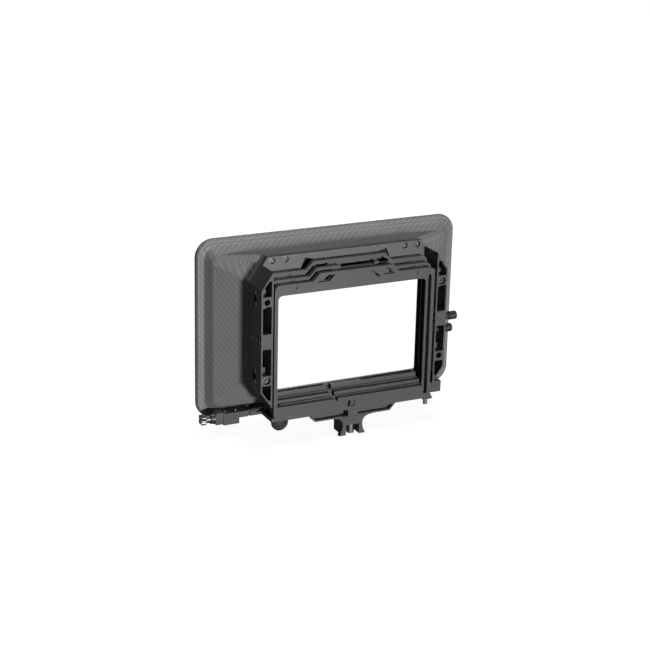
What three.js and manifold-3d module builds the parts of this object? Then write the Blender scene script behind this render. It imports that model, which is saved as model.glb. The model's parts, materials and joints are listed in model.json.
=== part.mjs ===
// Matte box for 4 x 5.65 inch filters: a three-stage filter cage with drop-in trays,
// a flared carbon hood, a flag bar under the hood and a clamping foot.
// Millimetres. +X is the operator's right, +Y points forward out of the hood, +Z is up.
// The origin lies on the seat under the foot.
import * as THREE from 'three';
import { mergeVertices } from 'three/addons/utils/BufferGeometryUtils.js';
import Module from 'manifold-3d';

const wasm = await Module();
wasm.setup();

// General clearances
const fitGap = 0.15;          // between two pieces that are screwed or seated together
const runGap = 0.3;           // round anything that slides or turns
const overrun = 1;            // how far a cutting tool passes the face that it cuts

// The filter that everything is sized round
const filterWidth = 143.5;
const filterHeight = 101.6;
const filterPlay = 0.55;      // round the filter in its tray

// Filter trays
const trayCount = 3;
const trayPitch = 7;
const trayDepth = 6.2;
const trayInset = 1;          // tray 1 lies this far in from the rear face of the rails
const trayCornerRadius = 5;
const traySideWall = 2.7;
const trayTopWall = 5.8;
const trayTopPlay = 2.2;      // above the filter
const trayWebThickness = 1.2;
const trayPocketRadius = 2;
const windowLedge = 2.15;     // the web reaches this far over each side of the filter
const windowHeightLedge = 1.6;
const windowLift = 9.4;       // from the tray's bottom edge to the window
const windowRadius = 4;
const handleShare = 0.4534;   // of the tray's width, along the top edge of the handle
const handleUpstand = 6.6;    // above the shoulders, its ends slope at 45 degrees
const handleThickness = 4.4;
const handleBarHeight = 5.6;  // the thinner bar along the top of a tray, below the shoulder line
const bossShare = 0.1987;     // of the tray's width: block in the middle of the bottom bar
const bossHeight = 9;
const bossStep = 0.4;         // above the bar on either side of it
const trayStepHeight = 6.4;   // the last tray stands this much higher than the first
const trayStepShares = [0, 0.4, 1];
const guideDepth = 0.9;       // how far a rail's rib reaches into the groove of a tray
const guideThickness = 1;
const fingerPocketLength = 11;
const fingerPocketHeight = 5.6;
const fingerPocketInset = 14; // its inner end, in from the corner of the handle
const fingerPocketDrop = 1.2; // its lower edge is this far below the shoulder line
const spacerWidth = 12;
const spacerInset = 14;
const thinSpacerWidth = 6;
const thinSpacerInset = 15.5; // in from the corner of the handle
const thinSpacerHeight = 4;
const padRecessDiameter = 5;
const padRecessDepth = 1;
const padRecessInset = 18;
const dimpleDiameter = 2;
const dimpleDepth = 0.5;
const notchWidth = 3.8;       // small notch in the bottom bar, left of the middle
const notchHeight = 5.4;
const notchShift = 1.4;
const notchDepth = 3;

// Cage: two side rails, in front of them a plate, all with the same bevelled corners
const cageMargin = 13.4;      // cage height over the height of a tray
const bevelRun = 14.9;        // along X
const bevelRise = 21.5;       // along Z
const cageDepth = 22;         // rails, from their rear face to the front plate
const railWidth = 10.5;
const railGap = 2;            // beside the trays
const plateThickness = 4;
const apertureSideMargin = 1.55;
const apertureHeightLoss = 6.6;
const apertureLift = 12.4;    // from the bottom edge of the plate to the aperture
const apertureRadius = 6;

// Floor, flange and foot
const floorThickness = 1.4;
const railLift = 11.95;       // from the top of the floor to the lower tip of the rails
const flangeHeight = 6;
const flangeShare = 0.56;     // of the tray's width
const flangeDepth = 9;
const flangeChannelDepth = 5;
const flangeLip = 1.4;
const postWidth = 9.4;        // left standing between the two channels of the flange
const footHeight = 17;
const footDepth = 18;
const footBlockWidth = 37;    // where the foot meets the flange
const footWaist = 18.8;
const footSpread = 25;        // at the seat
const footWaistShare = 0.55;  // of the foot's height, to its waist
const footCurveShare = 0.3;
const footSlotWidth = 12.6;
const footSlotDepth = 9.5;
const footScrewDiameter = 6.6;

// Hood
const hoodThickness = 1.6;
const hoodSideFlare = 37;     // mouth beyond the cage, each side
const hoodHeightFlare = 12;
const hoodRadius = 16;
const hoodDrop = 1.5;         // the front of the hood lies lower than the cage by this
const hoodNeck = 3.6;         // straight part behind the flare
const hoodLength = 34;        // from the front plate to the mouth
const flareInset = 12.1;      // where the funnel meets the band, in from the mouth's edge
const flareRadius = 8;
const flareLength = 17;
const bandInset = 4.7;        // where the band meets the lip
const bandLength = 8;
const coveInsetShares = [0.727, 0.876];  // of the funnel's inset, along the hollow of the band
const coveDepthShares = [0.725, 0.4];    // of the band's length, at the same places
const coveWallShares = [0.7, 0.85];      // of the wall, from the hollow to the inside of the hood
const lipStep = 0.6;          // the lip's rear face lies behind the end of the band
const lipGroove = 0.5;
const lipRound = 1.5;
const lipLength = 2;
const flangeRingDepth = 3;
const flangeRingWall = 7;

// Flag bar under the hood
const flagBarReach = 17.5;    // beyond the cage, each side
const flagBarDepth = 8;
const flagBarThickness = 5.3;
const flagChordThickness = 2.4;
const flagBarSetback = 12;    // from the front face of the plate to the bar
const flagBarDrop = 12.6;     // from the underside of the hood to the bar's lower face
const flagArmReach = 6.2;     // outer bends of the arms, beyond the trays
const flagArmLean = 10.2;
const flagArmFoot = 5.4;
const flagArmShare = 0.7;     // of the arm's foot, the height of its lugs
const flagClampWidth = 14.4;
const flagClampHeight = 5;
const flagHingeWidth = 7;
const flagHingeHeight = 10.8;
const flagKnobDiameter = 10;
const flagKnobLength = 10.2;
const flagKnobLobes = 4;
const flagLobeShare = 0.18;
const flagGripShare = 0.6;
const flagCollarDiameter = 10.4;
const flagCollarTipDiameter = 8.6;
const flagCollarLength = 4.4;
const flagNeckDiameter = 7;
const flagSpindleDiameter = 4;
const flagScrewHead = 3.6;
const flagScrewShares = [0.15, 0.83];
const flagSeamWidth = 1.6;    // groove across the bar where an arm starts
const flagSeamDepth = 1.4;

// Rails: pockets and bores, mirrored about the middle of the rail
const railPocketWidth = 8;
const railPocketDepth = 18;
const railPocketStep = 9.8;   // depth of the pockets behind the side slots
const railBandHeight = 13;
const railBoreDrop = 10.3;    // from the start of the bevel to a bore
const railBoreMargin = 3.8;   // from a bore's centre to the long pocket beside it
const railEndMargin = 4.6;    // and to the pocket at the rail's end
const railEndWall = 2;        // along Z, between that pocket and the bevel
const railEndTop = 7.2;       // from the rail's tip to that pocket
const railBoreDiameter = 5.6;
const railScrewHead = 6;
const railScrewHeadDepth = 3;
const railScrewShank = 3.4;
const railScrewSink = 2.2;
const railSeatDiameter = 7.2;
const socketShare = 0.8;      // of a screw head's depth
const sideSlotLength = 15;
const sideSlotWidth = 5.8;
const sideSlotDepth = 2.4;
const sideSlotDrop = 10.3;    // from the start of the bevel to the middle of a slot
const sideSlotShare = 0.62;   // of the cage's depth, from its rear
const sideScrewDiameter = 4.4;
const sideScrewLength = 3.5;
const sideScrewSpacing = 9.6;

// Spring plungers in the left rail and lock knobs in the right rail
const plungerDiameter = 3;
const plungerPinDiameter = 1.6;
const plungerPinLength = 3.2;
const plungerTravel = 0.8;
const plungerDrop = 1.2;
const plungerSink = 0.3;      // of its slotted end below the rail's outer face
const springWall = 0.35;
const lockKnobDiameter = 7.4;
const lockKnobLength = 8.7;
const lockShankDiameter = 3.4;
const lockBushDiameter = 6;
const lockBushLength = 4.2;
const lockTravel = 2;
const lockKnobDrop = 13.6;    // the second knob sits this much lower

// Screws in the front plate, and the recesses beside the handles
const plateScrewHead = 4.4;
const plateScrewHeadDepth = 1.8;
const plateScrewShank = 2.5;
const plateScrewSink = 1.2;
const plateBoreDiameter = 5.6;
const plateScrewInset = 3.4;
const plateScrewMargin = 4;   // of the outer screws, in from the bevel
const plateScrewSpacing = 12.3;
const fingerSlotSize = 10;
const fingerSlotPlace = 3.2;  // beyond the corner of the handle
const fingerSlotDrop = 9.8;
const fingerSlotDepth = 3;
const fingerSlotAcrossShares = [-0.62, -0.12, 0.62, 0.05];
const fingerSlotUpShares = [-0.55, 0.62, 0.42, -0.62];

// Corner wheel and corner pin
const wheelDiameter = 15.4;
const wheelThickness = 4;
const wheelBoss = 10;
const wheelDrop = 8.6;        // of its axis below the floor
const wheelInset = 14;        // of its axis, in from the tray's edge
const wheelShaftDiameter = 4;
const wheelHeadDiameter = 6;
const wheelRingShares = [0.5, 0.56, 0.68, 0.74, 0.84, 0.9];
const pinDiameter = 4;
const pinLength = 7;
const pinInset = 1.6;
const pinLugWidth = 9;
const pinLugHeight = 3.6;

// Worked-out sizes
const trayWidth = filterWidth + 2 * (filterPlay + traySideWall);
const trayHeight = bossHeight + filterHeight + trayTopPlay + trayTopWall;
const trayBottomWall = bossHeight - bossStep;
const trayPocketHeight = trayHeight - trayTopWall - trayBottomWall;
const windowWidth = filterWidth - 2 * windowLedge;
const windowHeight = filterHeight - 2 * windowHeightLedge;
const handleWidth = trayWidth * handleShare;
const bossWidth = trayWidth * bossShare;
const flangeWidth = trayWidth * flangeShare;
const cageWidth = trayWidth + 2 * (railGap + railWidth);
const cageHeight = trayHeight + cageMargin;
const apertureWidth = filterWidth + 2 * apertureSideMargin;
const apertureHeight = filterHeight - apertureHeightLoss;
const hoodWidth = cageWidth + 2 * hoodSideFlare;
const hoodHeight = cageHeight + 2 * hoodHeightFlare;
const flareHeight = hoodHeight - 2 * flareInset;
const flagBarWidth = cageWidth + 2 * flagBarReach;
const flagArmSpread = trayWidth + 2 * flagArmReach;
const flagArmTopSpread = flagArmSpread - 2 * flagArmLean;
const straightHalf = cageHeight / 2 - bevelRise;
const railBoreHeight = straightHalf - railBoreDrop;
const railPocketHeight = railBoreHeight - railBoreMargin - railBandHeight / 2;
const railEndPocketHeight = railBoreHeight + railEndMargin;
const sideSlotHeight = straightHalf - sideSlotDrop;
const plateScrewOuter = cageWidth - 2 * (bevelRun + plateScrewMargin);
const plateScrewInner = plateScrewOuter - 2 * plateScrewSpacing;
const wheelPlace = trayWidth / 2 - wheelInset;
const pinPlace = trayWidth / 2 - pinInset;
const trayRises = trayStepShares.map((stepShare) => stepShare * trayStepHeight);

// Worked-out places, in the builder's own frame: rail rear face at railRear
const footSeat = 0;
const flangeBottom = footSeat + footHeight;
const floorBottom = flangeBottom + flangeHeight;
const floorTop = floorBottom + floorThickness;
const bevelSlope = bevelRise / bevelRun;
const railTipHeight = straightHalf + railWidth * bevelSlope;
const stageMiddle = floorTop + railLift + railTipHeight;
const footMiddleY = 0;
const footRear = footMiddleY - footSlotDepth - (footDepth - footSlotDepth) / 2;
const railRear = footRear - trayInset;
const trayRear = (index) => railRear + trayInset + index * trayPitch;
const plateRear = railRear + cageDepth;
const plateFront = plateRear + plateThickness;
const plateBottom = stageMiddle - cageHeight / 2;
const plateTop = stageMiddle + cageHeight / 2;
const railInner = cageWidth / 2 - railWidth;
const trayBottom = (index) => floorTop + fitGap + trayRises[index];
const hoodRear = plateFront + fitGap;
const hoodMouth = plateFront + hoodLength;
const hoodMiddle = stageMiddle - hoodDrop;
const neckHalfHeight = cageHeight / 2 - fitGap;

// Materials
const blackAnodised = () => new THREE.MeshStandardMaterial({ color: 0x232325, roughness: 0.5, metalness: 0.7 });
const blackSteel = () => new THREE.MeshStandardMaterial({ color: 0x17171a, roughness: 0.35, metalness: 0.8 });
const silverSteel = () => new THREE.MeshStandardMaterial({ color: 0xbfc1c4, roughness: 0.3, metalness: 1 });
const carbonWeave = () => new THREE.MeshStandardMaterial({ color: 0x39393b, roughness: 0.6, metalness: 0.1 });

// Solid from a closed geometry, and back
function solid(geometry) {
  const bare = geometry.clone();
  bare.deleteAttribute('normal');
  bare.deleteAttribute('uv');
  const merged = mergeVertices(bare, 1e-5);
  const vertProperties = Float32Array.from(merged.attributes.position.array);
  const triVerts = Uint32Array.from(merged.index.array);
  return new wasm.Manifold(new wasm.Mesh({ numProp: 3, vertProperties, triVerts }));
}

function geometryFrom(body) {
  const mesh = body.getMesh();
  const geometry = new THREE.BufferGeometry();
  geometry.setAttribute('position', new THREE.BufferAttribute(Float32Array.from(mesh.vertProperties), 3));
  geometry.setIndex(new THREE.BufferAttribute(Uint32Array.from(mesh.triVerts), 1));
  geometry.computeVertexNormals();
  return geometry;
}

const join = (bodies) => bodies.reduce((total, body) => total.add(body));
const cut = (body, tools) => tools.reduce((rest, tool) => rest.subtract(tool), body);

// A box between two corners
function box(x0, x1, y0, y1, z0, z1) {
  const geometry = new THREE.BoxGeometry(x1 - x0, y1 - y0, z1 - z0);
  geometry.translate((x0 + x1) / 2, (y0 + y1) / 2, (z0 + z1) / 2);
  return solid(geometry);
}

// A box that is centred in X
const boxAcross = (width, y0, y1, z0, z1) => box(-width / 2, width / 2, y0, y1, z0, z1);

// An outline in X and Z, extruded along Y
function slab(shape, y0, y1, curveSegments = 6) {
  const geometry = new THREE.ExtrudeGeometry(shape, { depth: y1 - y0, bevelEnabled: false, curveSegments });
  geometry.rotateX(Math.PI / 2);
  geometry.translate(0, y1, 0);
  return solid(geometry);
}

// Cylinders along each axis
function rod(axis, diameter, from, to, a, b, segments = 24) {
  const geometry = new THREE.CylinderGeometry(diameter / 2, diameter / 2, to - from, segments);
  const middle = (from + to) / 2;
  if (axis === 'x') {
    geometry.rotateZ(Math.PI / 2);
    geometry.translate(middle, a, b);
  } else if (axis === 'y') {
    geometry.translate(a, middle, b);
  } else {
    geometry.rotateX(Math.PI / 2);
    geometry.translate(a, b, middle);
  }
  return solid(geometry);
}

function polygon(points) {
  return new THREE.Shape(points.map(([x, z]) => new THREE.Vector2(x, z)));
}

// A rectangle with round corners
function roundedRect(x0, x1, z0, z1, radius) {
  const shape = new THREE.Shape();
  shape.moveTo(x0 + radius, z0);
  shape.lineTo(x1 - radius, z0);
  shape.absarc(x1 - radius, z0 + radius, radius, -Math.PI / 2, 0);
  shape.lineTo(x1, z1 - radius);
  shape.absarc(x1 - radius, z1 - radius, radius, 0, Math.PI / 2);
  shape.lineTo(x0 + radius, z1);
  shape.absarc(x0 + radius, z1 - radius, radius, Math.PI / 2, Math.PI);
  shape.lineTo(x0, z0 + radius);
  shape.absarc(x0 + radius, z0 + radius, radius, Math.PI, 1.5 * Math.PI);
  return shape;
}

// Run and rise of a corner bevel when the cage's outline is drawn in by an inset
function bevelFor(inset) {
  const bevelLength = Math.hypot(bevelRun, bevelRise);
  return {
    run: bevelRun - inset + inset * (bevelLength - bevelRise) / bevelRun,
    rise: bevelRise - inset + inset * (bevelLength - bevelRun) / bevelRise,
  };
}

// The cage's outline with its four bevelled corners, drawn in by an inset
function cageOutline(inset = 0) {
  const halfWidth = cageWidth / 2 - inset;
  const halfHeight = cageHeight / 2 - inset;
  const bevel = bevelFor(inset);
  const side = halfHeight - bevel.rise;
  const top = halfWidth - bevel.run;
  return polygon([
    [-halfWidth, stageMiddle - side],
    [-top, stageMiddle - halfHeight],
    [top, stageMiddle - halfHeight],
    [halfWidth, stageMiddle - side],
    [halfWidth, stageMiddle + side],
    [top, stageMiddle + halfHeight],
    [-top, stageMiddle + halfHeight],
    [-halfWidth, stageMiddle + side],
  ]);
}

// A socket-head screw along Y with its head at the rear, and its hexagon socket
function socketScrew(x, z, headRear, headDiameter, headDepth, shankDiameter, tip) {
  const head = rod('y', headDiameter, headRear, headRear + headDepth, x, z, 20);
  const shank = rod('y', shankDiameter, headRear + headDepth / 2, tip, x, z, 12);
  const socket = rod('y', headDiameter / 2, headRear - overrun, headRear + headDepth * socketShare, x, z, 6);
  return head.add(shank).subtract(socket);
}

const root = new THREE.Group();
function addPart(name, body, material) {
  const mesh = new THREE.Mesh(geometryFrom(body), material);
  mesh.name = name;
  root.add(mesh);
}

// Side rails
const railPocketOuter = cageWidth / 2 - (railWidth - railPocketWidth) / 2;
const railPocketInner = railPocketOuter - railPocketWidth;
const railScrewX = (railPocketOuter + railPocketInner) / 2;
const bevelAt = (x) => straightHalf + (cageWidth / 2 - x) * bevelSlope;
const railEndTopX = railInner + (railEndTop - railEndWall) / bevelSlope;
const guideMiddle = (index) => trayRear(index) + trayDepth / 2;
const detentMiddle = (index) => trayRear(index) + trayDepth / 2;
const sideFaceX = cageWidth / 2;
const guideTip = trayWidth / 2 - guideDepth;
const sideSlotMiddle = railRear + cageDepth * sideSlotShare;
const plungerBodyEnd = sideFaceX - plungerSink;

function railBlank(side) {
  const outer = side * cageWidth / 2;
  const inner = side * railInner;
  const low = stageMiddle - straightHalf;
  const high = stageMiddle + straightHalf;
  const body = slab(polygon([
    [outer, low],
    [outer, high],
    [inner, stageMiddle + railTipHeight],
    [inner, stageMiddle - railTipHeight],
  ]), railRear, plateRear - fitGap);
  const tip = side * guideTip;
  const ribs = [];
  for (let index = 0; index < trayCount; index += 1) {
    ribs.push(box(
      Math.min(tip, inner + side * overrun), Math.max(tip, inner + side * overrun),
      guideMiddle(index) - guideThickness / 2, guideMiddle(index) + guideThickness / 2,
      stageMiddle - railTipHeight + railWidth, stageMiddle + straightHalf,
    ));
  }
  return join([body, ...ribs]);
}

function railPockets(side) {
  const deep = railRear + railPocketDepth;
  const front = railRear - overrun;
  const x0 = side * railPocketInner;
  const x1 = side * railPocketOuter;
  const wall = railWidth - railPocketWidth;
  const tools = [];
  for (const flip of [-1, 1]) {
    const long0 = stageMiddle + flip * railBandHeight / 2;
    const long1 = stageMiddle + flip * (railBandHeight / 2 + railPocketHeight);
    tools.push(slab(roundedRect(
      Math.min(x0, x1), Math.max(x0, x1), Math.min(long0, long1), Math.max(long0, long1), wall / 2,
    ), front, deep, 3));
    const end0 = stageMiddle + flip * railEndPocketHeight;
    const endOuter = stageMiddle + flip * (bevelAt(railPocketOuter) - railEndWall);
    const endTop = stageMiddle + flip * (railTipHeight - railEndTop);
    tools.push(slab(polygon([
      [x0, end0], [x1, end0], [x1, endOuter], [side * railEndTopX, endTop], [x0, endTop],
    ]), front, deep));
    const boreZ = stageMiddle + flip * railBoreHeight;
    tools.push(rod('y', railBoreDiameter, front, deep, side * railScrewX, boreZ));
  }
  return cut(join(tools), slotBacks(side));
}

// Solid metal that stays behind each side slot, for its screws
function slotBacks(side) {
  const half = sideSlotLength / 2 + plateThickness / 4;
  return [-1, 1].map((flip) => {
    const middle = stageMiddle + flip * sideSlotHeight;
    return box(
      Math.min(side * railInner, side * sideFaceX), Math.max(side * railInner, side * sideFaceX),
      railRear + railPocketStep, plateRear, middle - half, middle + half,
    );
  });
}

// Elongated recesses on the outside of a rail, each with two small screws in its floor
function sideSlots(side) {
  const floorX = side * (sideFaceX - sideSlotDepth);
  const openX = side * (sideFaceX + overrun);
  const tools = [];
  for (const flip of [-1, 1]) {
    const middle = stageMiddle + flip * sideSlotHeight;
    const straight = (sideSlotLength - sideSlotWidth) / 2;
    tools.push(box(
      Math.min(floorX, openX), Math.max(floorX, openX),
      sideSlotMiddle - sideSlotWidth / 2, sideSlotMiddle + sideSlotWidth / 2,
      middle - straight, middle + straight,
    ));
    for (const end of [-1, 1]) {
      tools.push(rod('x', sideSlotWidth, Math.min(floorX, openX), Math.max(floorX, openX),
        sideSlotMiddle, middle + end * straight, 16));
      const holeX = side * (sideFaceX - sideSlotDepth - sideScrewLength);
      tools.push(rod('x', sideScrewDiameter + 2 * fitGap, Math.min(holeX, openX), Math.max(holeX, openX),
        sideSlotMiddle, middle + end * sideScrewSpacing / 2, 16));
    }
  }
  return tools;
}

function addSideScrews(side, sideName) {
  const deep = side * (sideFaceX - sideSlotDepth - sideScrewLength + fitGap);
  const face = side * (sideFaceX - sideSlotDepth / 4);
  const socketFloor = side * (sideFaceX - sideSlotDepth);
  let count = 0;
  for (const flip of [1, -1]) {
    for (const end of [-1, 1]) {
      const z = stageMiddle + flip * sideSlotHeight + end * sideScrewSpacing / 2;
      const body = rod('x', sideScrewDiameter, Math.min(deep, face), Math.max(deep, face), sideSlotMiddle, z, 14);
      const open = side * (sideFaceX + overrun);
      const socket = rod('x', sideScrewDiameter / 2, Math.min(socketFloor, open),
        Math.max(socketFloor, open), sideSlotMiddle, z, 6);
      count += 1;
      addPart(`side_screw_${sideName}_${count}`, body.subtract(socket), silverSteel());
    }
  }
}

// A sunk seat for the socket screw that holds a rail to the front plate, and its shank hole
function railScrewBore(side, flip) {
  const z = stageMiddle + flip * railBoreHeight;
  const headEnd = railRear + railScrewSink + railScrewHeadDepth + fitGap;
  return [
    rod('y', railSeatDiameter, railRear - overrun, headEnd, side * railScrewX, z),
    rod('y', railScrewShank + 2 * fitGap, railRear, plateRear + overrun, side * railScrewX, z, 16),
  ];
}

const railPocketFloor = railRear + railPocketDepth;
const leftScrewFlip = -1;
const rightScrewFlip = 1;

// A boss fills the pocket bore where the rail screw sits
function screwSleeve(side, flip) {
  const sleeveDiameter = railSeatDiameter + (railWidth - railPocketWidth) / 2;
  return rod('y', sleeveDiameter, railRear, railPocketFloor, side * railScrewX,
    stageMiddle + flip * railBoreHeight);
}

const plungerZ = stageMiddle - plungerDrop;
function plungerBores() {
  const tools = [];
  for (let index = 0; index < trayCount; index += 1) {
    tools.push(rod('x', plungerDiameter + 2 * fitGap, -sideFaceX - overrun, -guideTip + overrun,
      detentMiddle(index), plungerZ, 16));
  }
  return tools;
}

const lockPlaces = [
  { name: 'upper', y: detentMiddle(0), z: stageMiddle },
  { name: 'lower', y: detentMiddle(1), z: stageMiddle - lockKnobDrop },
];
function lockBores() {
  const tools = [];
  for (const place of lockPlaces) {
    tools.push(rod('x', lockBushDiameter + 2 * fitGap, guideTip - overrun, sideFaceX + overrun,
      place.y, place.z));
  }
  return tools;
}

function railLeft() {
  const blank = railBlank(-1).subtract(railPockets(-1)).add(screwSleeve(-1, leftScrewFlip));
  return cut(blank, [...railScrewBore(-1, leftScrewFlip), ...sideSlots(-1), ...plungerBores()]);
}

function railRight() {
  const blank = railBlank(1).subtract(railPockets(1)).add(screwSleeve(1, rightScrewFlip));
  return cut(blank, [...railScrewBore(1, rightScrewFlip), ...sideSlots(1), ...lockBores()]);
}

addPart('rail_left', railLeft(), blackAnodised());
addPart('rail_right', railRight(), blackAnodised());
addSideScrews(-1, 'left');
addSideScrews(1, 'right');

// Front plate, with the finger slots beside the handles and a round ear for the corner wheel
const wheelZ = floorBottom - wheelDrop;

const plateScrewPlaces = [];
for (const z of [plateTop - plateScrewInset, plateBottom + plateScrewInset]) {
  for (const x of [-plateScrewOuter / 2, -plateScrewInner / 2, plateScrewInner / 2, plateScrewOuter / 2]) {
    plateScrewPlaces.push([x, z]);
  }
}

function frontPlate() {
  const outline = slab(cageOutline(), plateRear, plateFront);
  const tongueWidth = cageWidth - 2 * bevelRun;
  const tongue = boxAcross(tongueWidth, plateRear, plateFront, floorBottom, plateBottom + overrun);
  const ear = rod('y', wheelBoss, plateRear, plateFront, -wheelPlace, wheelZ)
    .add(box(-wheelPlace - wheelBoss / 2, -wheelPlace + wheelBoss / 2, plateRear, plateFront,
      wheelZ, floorTop));
  const z0 = plateBottom + apertureLift;
  const aperture = slab(roundedRect(-apertureWidth / 2, apertureWidth / 2, z0, z0 + apertureHeight,
    apertureRadius), plateRear - overrun, plateFront + overrun);
  const tools = [aperture, rod('y', wheelShaftDiameter + 2 * fitGap, plateRear - overrun,
    plateFront + overrun, -wheelPlace, wheelZ, 20)];
  for (const side of [-1, 1]) {
    const centreX = side * (handleWidth / 2 + fingerSlotPlace);
    const centreZ = plateTop - fingerSlotDrop;
    tools.push(slab(polygon(fingerSlotAcrossShares.map((acrossShare, corner) => [
      centreX - side * acrossShare * fingerSlotSize,
      centreZ + fingerSlotUpShares[corner] * fingerSlotSize,
    ])), plateRear - overrun, plateRear + fingerSlotDepth));
    const railFlip = side < 0 ? leftScrewFlip : rightScrewFlip;
    tools.push(rod('y', railScrewShank + 2 * fitGap, plateRear - overrun, plateFront + overrun,
      side * railScrewX, stageMiddle + railFlip * railBoreHeight, 16));
  }
  for (const [x, z] of plateScrewPlaces) {
    tools.push(rod('y', plateBoreDiameter, plateRear - overrun,
      plateRear + plateScrewSink + plateScrewHeadDepth + fitGap, x, z, 20));
    tools.push(rod('y', plateScrewShank + 2 * fitGap, plateRear, plateFront + overrun, x, z, 12));
  }
  return cut(join([outline, tongue, ear]), tools);
}
addPart('front_plate', frontPlate(), blackAnodised());

const railScrewPlaces = [
  { name: 'left', side: -1, flip: leftScrewFlip },
  { name: 'right', side: 1, flip: rightScrewFlip },
];
for (const place of railScrewPlaces) {
  addPart(`rail_screw_${place.name}`, socketScrew(
    place.side * railScrewX, stageMiddle + place.flip * railBoreHeight, railRear + railScrewSink,
    railScrewHead, railScrewHeadDepth, railScrewShank, plateFront - fitGap,
  ), silverSteel());
}

// Ring that carries the hood, inside the hood's neck
const ringOuterInset = hoodThickness + 2 * fitGap;
function hoodRing() {
  const outer = slab(cageOutline(ringOuterInset), plateFront + fitGap, plateFront + fitGap + flangeRingDepth);
  const inner = slab(cageOutline(ringOuterInset + flangeRingWall), plateFront,
    plateFront + 2 * fitGap + flangeRingDepth);
  const tools = [inner];
  for (const [x, z] of plateScrewPlaces) {
    tools.push(rod('y', plateScrewShank + 2 * fitGap, plateFront, plateFront + flangeRingDepth + overrun,
      x, z, 12));
  }
  return cut(outer, tools);
}
addPart('hood_ring', hoodRing(), blackAnodised());

plateScrewPlaces.forEach(([x, z], index) => {
  addPart(`hood_screw_${index + 1}`, socketScrew(x, z, plateRear + plateScrewSink, plateScrewHead,
    plateScrewHeadDepth, plateScrewShank, plateFront + flangeRingDepth), blackSteel());
});

// Hood: sections that change from the cage's bevelled outline to a round-cornered mouth
const cornerSteps = 6;
function hoodSection(y, halfWidth, halfHeight, middle, run, rise, roundShare) {
  const points = [];
  const corners = [[1, -1], [1, 1], [-1, 1], [-1, -1]];
  corners.forEach(([sx, sz], cornerIndex) => {
    for (let step = 0; step <= cornerSteps; step += 1) {
      const t = step / cornerSteps;
      const along = cornerIndex % 2 === 0 ? t : 1 - t;
      const angle = along * Math.PI / 2;
      const roundX = 1 - Math.sin(angle);
      const roundZ = 1 - Math.cos(angle);
      const offX = run * THREE.MathUtils.lerp(1 - along, roundX, roundShare);
      const offZ = rise * THREE.MathUtils.lerp(along, roundZ, roundShare);
      points.push(new THREE.Vector3(sx * (halfWidth - offX), y, middle + sz * (halfHeight - offZ)));
    }
  });
  return points;
}

// Closed skin through a list of section loops: each loop joins the next, the last joins the first
function skinThrough(loops) {
  const count = loops[0].length;
  const positions = [];
  const index = [];
  loops.forEach((loop) => loop.forEach((point) => positions.push(point.x, point.y, point.z)));
  loops.forEach((loop, loopIndex) => {
    const next = (loopIndex + 1) % loops.length;
    for (let k = 0; k < count; k += 1) {
      const m = (k + 1) % count;
      const a = loopIndex * count + k;
      const b = loopIndex * count + m;
      const c = next * count + m;
      const d = next * count + k;
      index.push(a, c, b, a, d, c);
    }
  });
  const geometry = new THREE.BufferGeometry();
  geometry.setAttribute('position', new THREE.Float32BufferAttribute(positions, 3));
  geometry.setIndex(index);
  return geometry;
}

// A section of the round-cornered mouth, drawn in by an inset from its outer edge
function mouthSection(y, inset) {
  const pastBand = THREE.MathUtils.clamp((inset - bandInset) / (flareInset - bandInset), 0, 1);
  const radius = THREE.MathUtils.lerp(hoodRadius - Math.min(inset, bandInset), flareRadius, pastBand);
  return [y, hoodWidth / 2 - inset, hoodHeight / 2 - inset, hoodMiddle, radius, radius, 1];
}

function hoodShell() {
  const neckEnd = hoodRear + hoodNeck;
  const flareEnd = neckEnd + flareLength;
  const bandEnd = flareEnd + bandLength;
  const wall = hoodThickness;
  const neckBevel = bevelFor(fitGap);
  const neckInnerBevel = bevelFor(fitGap + wall);
  const neckHalfWidth = cageWidth / 2 - fitGap;
  const cove = coveInsetShares.map((insetShare, index) => ({
    depth: flareEnd + bandLength * coveDepthShares[index],
    inset: flareInset * insetShare,
    wallShare: coveWallShares[index],
  }));
  const outer = [
    [hoodRear, neckHalfWidth, neckHalfHeight, stageMiddle, neckBevel.run, neckBevel.rise, 0],
    [neckEnd, neckHalfWidth, neckHalfHeight, stageMiddle, neckBevel.run, neckBevel.rise, 0],
    mouthSection(flareEnd, flareInset),
    ...cove.map(({ depth, inset }) => mouthSection(depth, inset)).reverse(),
    mouthSection(bandEnd, bandInset),
    mouthSection(bandEnd - lipStep, bandInset - lipGroove),
    mouthSection(bandEnd - lipStep, lipRound),
    mouthSection(bandEnd + lipRound, 0),
    mouthSection(hoodMouth - lipLength / 2, 0),
    mouthSection(hoodMouth, lipLength / 2),
  ];
  const inner = [
    mouthSection(hoodMouth, bandInset + wall),
    mouthSection(bandEnd + wall, bandInset + wall),
    ...cove.map(({ depth, inset, wallShare }) => mouthSection(
      depth + wall * wallShare,
      inset + wall * wallShare,
    )),
    mouthSection(flareEnd + wall, flareInset + wall),
    [neckEnd + wall, neckHalfWidth - wall, neckHalfHeight - wall, stageMiddle,
      neckInnerBevel.run, neckInnerBevel.rise, 0],
    [hoodRear, neckHalfWidth - wall, neckHalfHeight - wall, stageMiddle,
      neckInnerBevel.run, neckInnerBevel.rise, 0],
  ];
  const loops = [...outer, ...inner].map((row) => hoodSection(...row));
  return solid(skinThrough(loops));
}
addPart('hood_shell', hoodShell(), carbonWeave());

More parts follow.
